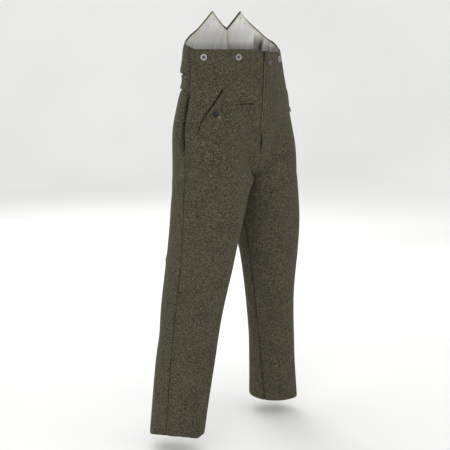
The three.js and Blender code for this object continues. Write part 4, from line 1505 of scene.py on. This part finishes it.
# %% Buckle
def make_buckle():
    width, height, bar = BUCKLE["width"] * MM, BUCKLE["height"] * MM, BUCKLE["bar"] * MM
    bpy.ops.object.select_all(action="DESELECT")
    bpy.ops.mesh.primitive_grid_add(x_subdivisions=5, y_subdivisions=3, size=1)
    buckle = bpy.context.object
    buckle.name = "steel_adjuster_buckle"
    xs = (-width / 2, -width / 2 + bar, -bar / 2, bar / 2, width / 2 - bar, width / 2)
    ys = (-height / 2, -height / 2 + bar, height / 2 - bar, height / 2)
    for vertex in buckle.data.vertices:
        vertex.co.x = xs[round((vertex.co.x + 0.5) * 5)]
        vertex.co.y = ys[round((vertex.co.y + 0.5) * 3)]
    bpy.ops.object.mode_set(mode="EDIT")
    window = 4 * MM
    pick_faces(buckle.data, lambda face: window < abs(face.calc_center_median().x) < width / 2 - bar
               and abs(face.calc_center_median().y) < window)
    bpy.ops.mesh.delete(type="FACE")
    bpy.ops.object.mode_set(mode="OBJECT")
    gauge = buckle.modifiers.new("gauge", "SOLIDIFY")
    gauge.thickness = BUCKLE["thick"] * MM
    gauge.offset = 1
    apply_modifier(buckle, "gauge")
    rounding = buckle.modifiers.new("rounding", "BEVEL")
    rounding.width = 0.55 * MM
    rounding.segments = 3
    rounding.limit_method = "ANGLE"
    apply_modifier(buckle, "rounding")
    buckle.data.materials.append(STEEL)
    buckle.data.transform(seat_matrix("back_right", 0, TAB_LEVEL, ON + TAB_THICK + GAP))
    finish_piece(buckle, ("adjuster_buckle",), 35)


make_buckle()

# %% [markdown]
# ## Stitches
# One stitch is a short rounded bar of thread. It is modelled once, then laid hundreds of times along
# a line of the cloth: a cream row holds the lining's turned edge, and two rows hold its back seam.
# All stitches of a kind are one mesh, because hundreds of objects would slow every step.

# %% One stitch, and a row of them
def stitch_shape():
    bpy.ops.object.select_all(action="DESELECT")
    bpy.ops.mesh.primitive_cylinder_add(vertices=6, radius=1, depth=2)
    stitch = bpy.context.object
    bpy.ops.object.mode_set(mode="EDIT")
    pick_faces(stitch.data, lambda face: abs(face.normal.z) > 0.9)
    bpy.ops.mesh.inset(thickness=0.35)
    bpy.ops.transform.resize(value=(1, 1, 1.25))
    bpy.ops.object.mode_set(mode="OBJECT")
    points = np.array([v.co for v in stitch.data.vertices])
    faces = [tuple(f.vertices) for f in stitch.data.polygons]
    bpy.data.objects.remove(stitch, do_unlink=True)
    return points, faces


STITCH_POINTS, STITCH_FACES = stitch_shape()


def lay_stitches(name, ends, radius_mm, material):
    """A mesh with one stitch for each pair of end points, in millimetres."""
    vertices, faces = [], []
    for a, b in ends:
        a, b = Vector(a), Vector(b)
        turn = (b - a).to_track_quat("Z", "Y").to_matrix()
        half = (b - a).length / 2.5
        for x, y, z in STITCH_POINTS:
            vertices.append((turn @ Vector((x * radius_mm, y * radius_mm, z * half)) + (a + b) / 2) * MM)
        first = len(vertices) - len(STITCH_POINTS)
        faces += [tuple(k + first for k in face) for face in STITCH_FACES]
    finish_piece(new_piece(name, vertices, faces, material), angle=60)


def row_ends(panel, line, out, stitch_mm, gap_mm):
    """Ends of stitches along a flat line of (across, height) points."""
    line = np.asarray(line, float)
    points = lift(panel, line[:, 0], line[:, 1], out)
    run = np.concatenate(([0], np.cumsum(np.linalg.norm(np.diff(points, axis=0), axis=1))))
    starts = np.arange(stitch_mm / 2, run[-1] - stitch_mm, stitch_mm + gap_mm)
    first, last = [
        np.stack([np.interp(places, run, points[:, k]) for k in range(3)], axis=1)
        for places in (starts, starts + stitch_mm)
    ]
    return list(zip(first, last))


def one_stitch(panel, flat, out):
    """The two ends of a single stitch, from two (across, height) points."""
    first, last = lift(panel, [point[0] for point in flat], [point[1] for point in flat], out)
    return first, last


# %% Lay the visible rows
LINING_STITCH = 2.6
STITCH_IN = 2.4
cream = []
for panel in PANELS:
    f = np.linspace(0.005, 1, 240)
    z = lining_top(panel, f) - STITCH_IN
    start = lining_start(panel, z) + 1
    across = start + (length_at(panel, z) - 1 - start) * f
    on_lining = under_wool(panel, across, z) - LINING_THICK - 0.25
    cream += row_ends(panel, np.stack([across, z], axis=1), on_lining, LINING_STITCH, 1.0)
lay_stitches("cream_lining_stitches", cream, 0.45, CREAM_THREAD)

seam_rows = []
z = np.linspace(-60, 146, 120)
for beside in (-1.8, 1.8):
    line = np.stack([lining_seam(z) + beside, z], axis=1)
    on_lining = under_wool("back_left", line[:, 0], z) - LINING_THICK - 0.2
    seam_rows += row_ends("back_left", line, on_lining, LINING_STITCH, 0.8)
lay_stitches("cream_back_seam_stitches", seam_rows, 0.4, CREAM_THREAD)

# %% Threads of the buttons
THREAD_RADIUS = 0.42


def button_threads(matrix, floor_mm, reach_mm=HOLE_OUT):
    """Two crossed stitches over a button's floor, in millimetres."""
    corner = reach_mm * 0.72
    ends = []
    for x, y in ((1, 1), (1, -1)):
        a = matrix @ Vector((corner * x * MM, corner * y * MM, floor_mm * MM))
        b = matrix @ Vector((-corner * x * MM, -corner * y * MM, floor_mm * MM))
        ends.append((a / MM, b / MM))
    return ends


thread_ends, dots = [], []
for panel, across, z in BRACE_AT:
    thread_ends += button_threads(seat_matrix(panel, across, z, BUTTON_ON), 1.95)
    inside_out = UNDER - LINING_THICK - 0.3
    for dx, dz in ((1.4, 1.2), (1.4, -1.2)):
        dots.append(one_stitch(panel, ((across - dx, z - dz), (across + dx, z + dz)), inside_out))
thread_ends += button_threads(seat_matrix("front_left", *FLY_BUTTON, BUTTON_ON), 2.35)
lay_stitches("green_button_threads", thread_ends, THREAD_RADIUS, GREEN_THREAD)
lay_stitches("green_thread_dots_inside", dots, 0.7, GREEN_THREAD)
dark_ends = []
for side in ("right", "left"):
    dark_ends += button_threads(seat_matrix(f"front_{side}", *POCKET_BUTTON, BUTTON_ON), 2.35)
lay_stitches("navy_pocket_button_threads", dark_ends, THREAD_RADIUS, NAVY_THREAD)

# %% [markdown]
# ## The pocket's buttonhole
# The pocket's lower lip buttons over, so a buttonhole worked in tan thread lies under the button. A
# worked buttonhole is a slot with stitches laid side by side round it. Only its outer end shows.

# %% Buttonhole
HOLE_LONG = 17
HOLE_STITCH = 2.3
HOLE_SLANT = math.radians(218)
HOLE_SHIFT = (-5.0, -3.6)
HOLE_STITCH_APART = 0.85
STITCH_STANDS = 0.35


def buttonhole(side):
    panel = f"front_{side}"
    cx, cz = POCKET_BUTTON[0] + HOLE_SHIFT[0], POCKET_BUTTON[1] + HOLE_SHIFT[1]
    way = (math.cos(HOLE_SLANT), math.sin(HOLE_SLANT))
    ends = []
    for sign in (1, -1):
        for t in np.arange(-HOLE_LONG / 2, HOLE_LONG / 2 + 0.1, HOLE_STITCH_APART):
            x, y = cx + way[0] * t, cz + way[1] * t
            flat = [(x - way[1] * d * sign, y + way[0] * d * sign) for d in (0.4, HOLE_STITCH)]
            ends.append(one_stitch(panel, flat, STITCH_STANDS))
    tip = (cx + way[0] * HOLE_LONG / 2, cz + way[1] * HOLE_LONG / 2)
    for k in range(7):
        angle = HOLE_SLANT + math.radians(-75 + 25 * k)
        flat = [(tip[0] + math.cos(angle) * d, tip[1] + math.sin(angle) * d) for d in (0.3, HOLE_STITCH)]
        ends.append(one_stitch(panel, flat, STITCH_STANDS))
    return ends


lay_stitches("tan_buttonhole_stitches", buttonhole("right") + buttonhole("left"), 0.42, TAN_THREAD)

# %% [markdown]
# ## Floor and light
# The floor is a pale sweep that curves up all round, so no horizon shows from any side. A soft light
# stands at the wearer's right front, and a weaker one at the left front. A broad, bright one stands
# behind and lights the inside of the waist. Pale light comes from everywhere, as in a tent.

# %% Stage
FLOOR_BELOW_HEM = 45
SWEEP_RADIUS = 5.0
SWEEP_RISE = 2.6
SWEEP_SPREADS = 1.2
SWEEP_INSET = 1.8
RIM_REACH = 0.1
LIGHTS_AIM = Vector((0, 0, -0.4))
# Each light: its place, its size across and its power, in metres and watts
LIGHTS = {
    "key_light": ((-2.5, -1.5, -0.1), 1.3, 20),
    "fill_light": ((1.6, -3.0, 1.0), 2.0, 9),
    "back_light": ((1.4, 2.8, 1.6), 2.6, 50),
}
TENT_STRENGTH = 0.85


def make_sweep():
    bpy.ops.object.select_all(action="DESELECT")
    bpy.ops.mesh.primitive_circle_add(
        vertices=96, radius=SWEEP_RADIUS, fill_type="NGON", location=(0, 0, (HEM - FLOOR_BELOW_HEM) * MM),
    )
    sweep = bpy.context.object
    sweep.name = "pale_floor_sweep"
    bpy.ops.object.transform_apply(location=True, rotation=True, scale=True)
    bpy.ops.object.mode_set(mode="EDIT")
    bpy.ops.mesh.select_all(action="SELECT")
    bpy.ops.mesh.inset(thickness=SWEEP_INSET)
    bpy.ops.object.mode_set(mode="OBJECT")
    profile = [(math.sin(a), 1 - math.cos(a)) for a in np.linspace(0.2, math.pi / 2, 9)]
    rim = [v.index for v in sweep.data.vertices if v.co.xy.length > SWEEP_RADIUS - RIM_REACH]
    base = sweep.data.vertices[rim[0]].co.z
    bpy.ops.object.mode_set(mode="EDIT")
    edit = bmesh.from_edit_mesh(sweep.data)
    bpy.ops.mesh.select_all(action="DESELECT")
    bpy.ops.mesh.select_mode(type="EDGE")
    for edge in edit.edges:
        edge.select_set(all(v.co.xy.length > SWEEP_RADIUS - RIM_REACH for v in edge.verts))
    bmesh.update_edit_mesh(sweep.data)
    radius, height = SWEEP_RADIUS, base
    for out, up in profile:
        new_radius, new_height = SWEEP_RADIUS + SWEEP_SPREADS * out, base + SWEEP_RISE * up
        scale = new_radius / radius
        bpy.ops.mesh.extrude_edges_move(TRANSFORM_OT_translate={"value": (0, 0, new_height - height)})
        bpy.ops.transform.resize(value=(scale, scale, 1), center_override=(0, 0, 0))
        radius, height = new_radius, new_height
    bpy.ops.object.mode_set(mode="OBJECT")
    material, tree, shader = new_material("pale_paper_sweep")
    where = add_node(tree, "ShaderNodeTexCoord").outputs["Object"]
    colour = ramp(tree, noise(tree, where, 900, 2), ((0.3, "#f4f4f3"), (0.7, "#f8f8f7")))
    dress(tree, shader, colour, {"Roughness": 0.9})
    sweep.data.materials.append(material)
    select_only(sweep)
    bpy.ops.object.shade_smooth()


make_sweep()


def soft_light(name, place, size, watts):
    data = bpy.data.lights.new(name, "AREA")
    data.shape = "DISK"
    data.size = size
    data.energy = watts
    lamp = bpy.data.objects.new(name, data)
    bpy.context.scene.collection.objects.link(lamp)
    lamp.location = place
    lamp.rotation_euler = (LIGHTS_AIM - lamp.location).to_track_quat("-Z", "Y").to_euler()


for name, (place, size, watts) in LIGHTS.items():
    soft_light(name, place, size, watts)

world = bpy.data.worlds.new("pale_tent")
bpy.context.scene.world = world
world.use_nodes = True
world.node_tree.nodes["Background"].inputs["Color"].default_value = (1, 1, 1, 1)
world.node_tree.nodes["Background"].inputs["Strength"].default_value = TENT_STRENGTH
bpy.context.scene.view_settings.view_transform = "Standard"

# %% Box corners as plain numbers, and the end
def plain(box):
    return [[float(v) for v in corner] for corner in box]
